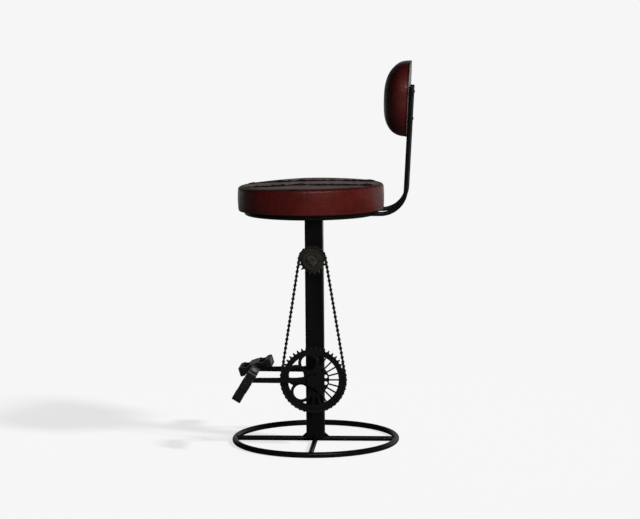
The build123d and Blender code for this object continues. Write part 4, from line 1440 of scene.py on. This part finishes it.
def link_light(light, floor, state):
    """Lights only the floor, or everything except the floor."""
    receivers = bpy.data.collections.new(light.name + "_receivers")
    receivers.objects.link(floor)
    receivers.collection_objects[0].light_linking.link_state = state
    light.light_linking.receiver_collection = receivers


def make_world(settings):
    """A pale backdrop, brighter behind and to the right of the stool than in front."""
    world = bpy.data.worlds.new("studio")
    world.use_nodes = True
    bpy.context.scene.world = world
    finish = Finish(world.node_tree)
    way = finish.node("ShaderNodeTexCoord", output=0)
    across, depth, rise = (
        finish.node("ShaderNodeSeparateXYZ", None, {0: way}, output=axis) for axis in range(3)
    )
    behind_glow, beside_glow, room_glow = 0.34, 0.45, 0.016
    behind = finish.step(depth + across * 0.40, 0.30, 0.98) * behind_glow
    beside = finish.step(across * 0.70 + depth * 0.60, 0.66, 1.00) * beside_glow
    level = room_glow + (behind + beside) * (1.0 - finish.step(rise, 0.20, 0.70))
    shade = finish.node("ShaderNodeCombineColor", None, {0: level, 1: level, 2: level * 1.02})
    seen = finish.node("ShaderNodeLightPath", output=0)
    view = finish.blend(seen, shade, (settings.backdrop,) * 3)
    sky = finish.node("ShaderNodeBackground", None, {"Color": view, "Strength": 1.0})
    finish.node("ShaderNodeOutputWorld", None, {"Surface": sky})


def make_camera(settings):
    """The photograph's view: from the stool's left side, a little above the seat."""
    data = bpy.data.cameras.new("camera")
    data.sensor_width = 36.0
    data.lens = settings.focal_pixels / PHOTO_WIDTH * data.sensor_width
    camera = bpy.data.objects.new("camera", data)
    turn = settings.azimuth
    camera.location = (
        settings.distance * math.sin(turn), -settings.distance * math.cos(turn), settings.height,
    )
    yaw = math.atan((PHOTO_WIDTH / 2 - settings.post_column) / settings.focal_pixels)
    spin = Matrix.Rotation(turn - yaw, 3, "Z") @ Matrix.Rotation(math.pi / 2 - settings.pitch, 3, "X")
    camera.rotation_euler = (spin @ Matrix.Rotation(settings.roll, 3, "Z")).to_euler()
    bpy.context.scene.collection.objects.link(camera)
    bpy.context.scene.camera = camera


class STOOL_OT_set_stage(bpy.types.Operator):
    """Set the floor, the studio light and the photograph's camera"""

    bl_idname = "stool.set_stage"
    bl_label = "Set the stage"

    def execute(self, context):
        settings = context.scene.stool.stage
        context.scene.view_settings.view_transform = "Standard"
        floor = make_floor(settings)
        make_world(settings)
        aim = (0.0, 0.0, 0.75)
        lamps = (
            ("key", 33, 8, (1.2, 0.9), settings.key_power, "visible_glossy"),
            ("glint", 16, 29, (1.8, 0.35), settings.glint_power, "visible_diffuse"),
            ("fill", 200, 18, (1.6, 1.2), settings.fill_power, "visible_glossy"),
        )
        for name, azimuth, elevation, size, power, unseen in lamps:
            place = round_the_stool(azimuth, elevation, LAMP_DISTANCE, aim[2])
            lamp = make_light(name, place, aim, size, power)
            setattr(lamp, unseen, False)
            link_light(lamp, floor, "EXCLUDE")
        side_place = round_the_stool(67, 39, LAMP_DISTANCE, 0.0)
        side = make_sun("side", side_place, settings.side_strength)
        link_light(side, floor, "INCLUDE")
        make_camera(settings)
        return {"FINISHED"}


# Sidebar

OPERATORS = (
    STOOL_OT_paint_frame,
    STOOL_OT_finish_drive,
    STOOL_OT_finish_pedals,
    STOOL_OT_upholster_seat,
    STOOL_OT_upholster_back,
    STOOL_OT_set_stage,
)


class STOOL_PT_sidebar(bpy.types.Panel):
    """Lists the stool's steps and settings"""

    bl_idname = "STOOL_PT_sidebar"
    bl_label = "Bar stool"
    bl_space_type = "VIEW_3D"
    bl_region_type = "UI"
    bl_category = "Stool"

    def draw(self, context):
        for operator in OPERATORS:
            self.layout.operator(operator.bl_idname)
        for name in SETTINGS:
            group = getattr(context.scene.stool, name)
            box = self.layout.box()
            box.label(text=name.capitalize())
            for value in group.bl_rna.properties:
                if value.identifier not in ("rna_type", "name"):
                    box.prop(group, value.identifier)


CLASSES = (*SETTINGS.values(), StoolSettings, *OPERATORS, STOOL_PT_sidebar)


def register():
    for part in CLASSES:
        bpy.utils.register_class(part)
    bpy.types.Scene.stool = PointerProperty(
        type=StoolSettings, name="Stool", description="The stool's settings",
    )


def unregister():
    del bpy.types.Scene.stool
    for part in reversed(CLASSES):
        bpy.utils.unregister_class(part)


def main():
    register()
    bpy.ops.stool.paint_frame()
    bpy.ops.stool.finish_drive()
    bpy.ops.stool.finish_pedals()
    bpy.ops.stool.upholster_seat()
    bpy.ops.stool.upholster_back()
    bpy.ops.stool.set_stage()


if __name__ == "__main__":
    main()
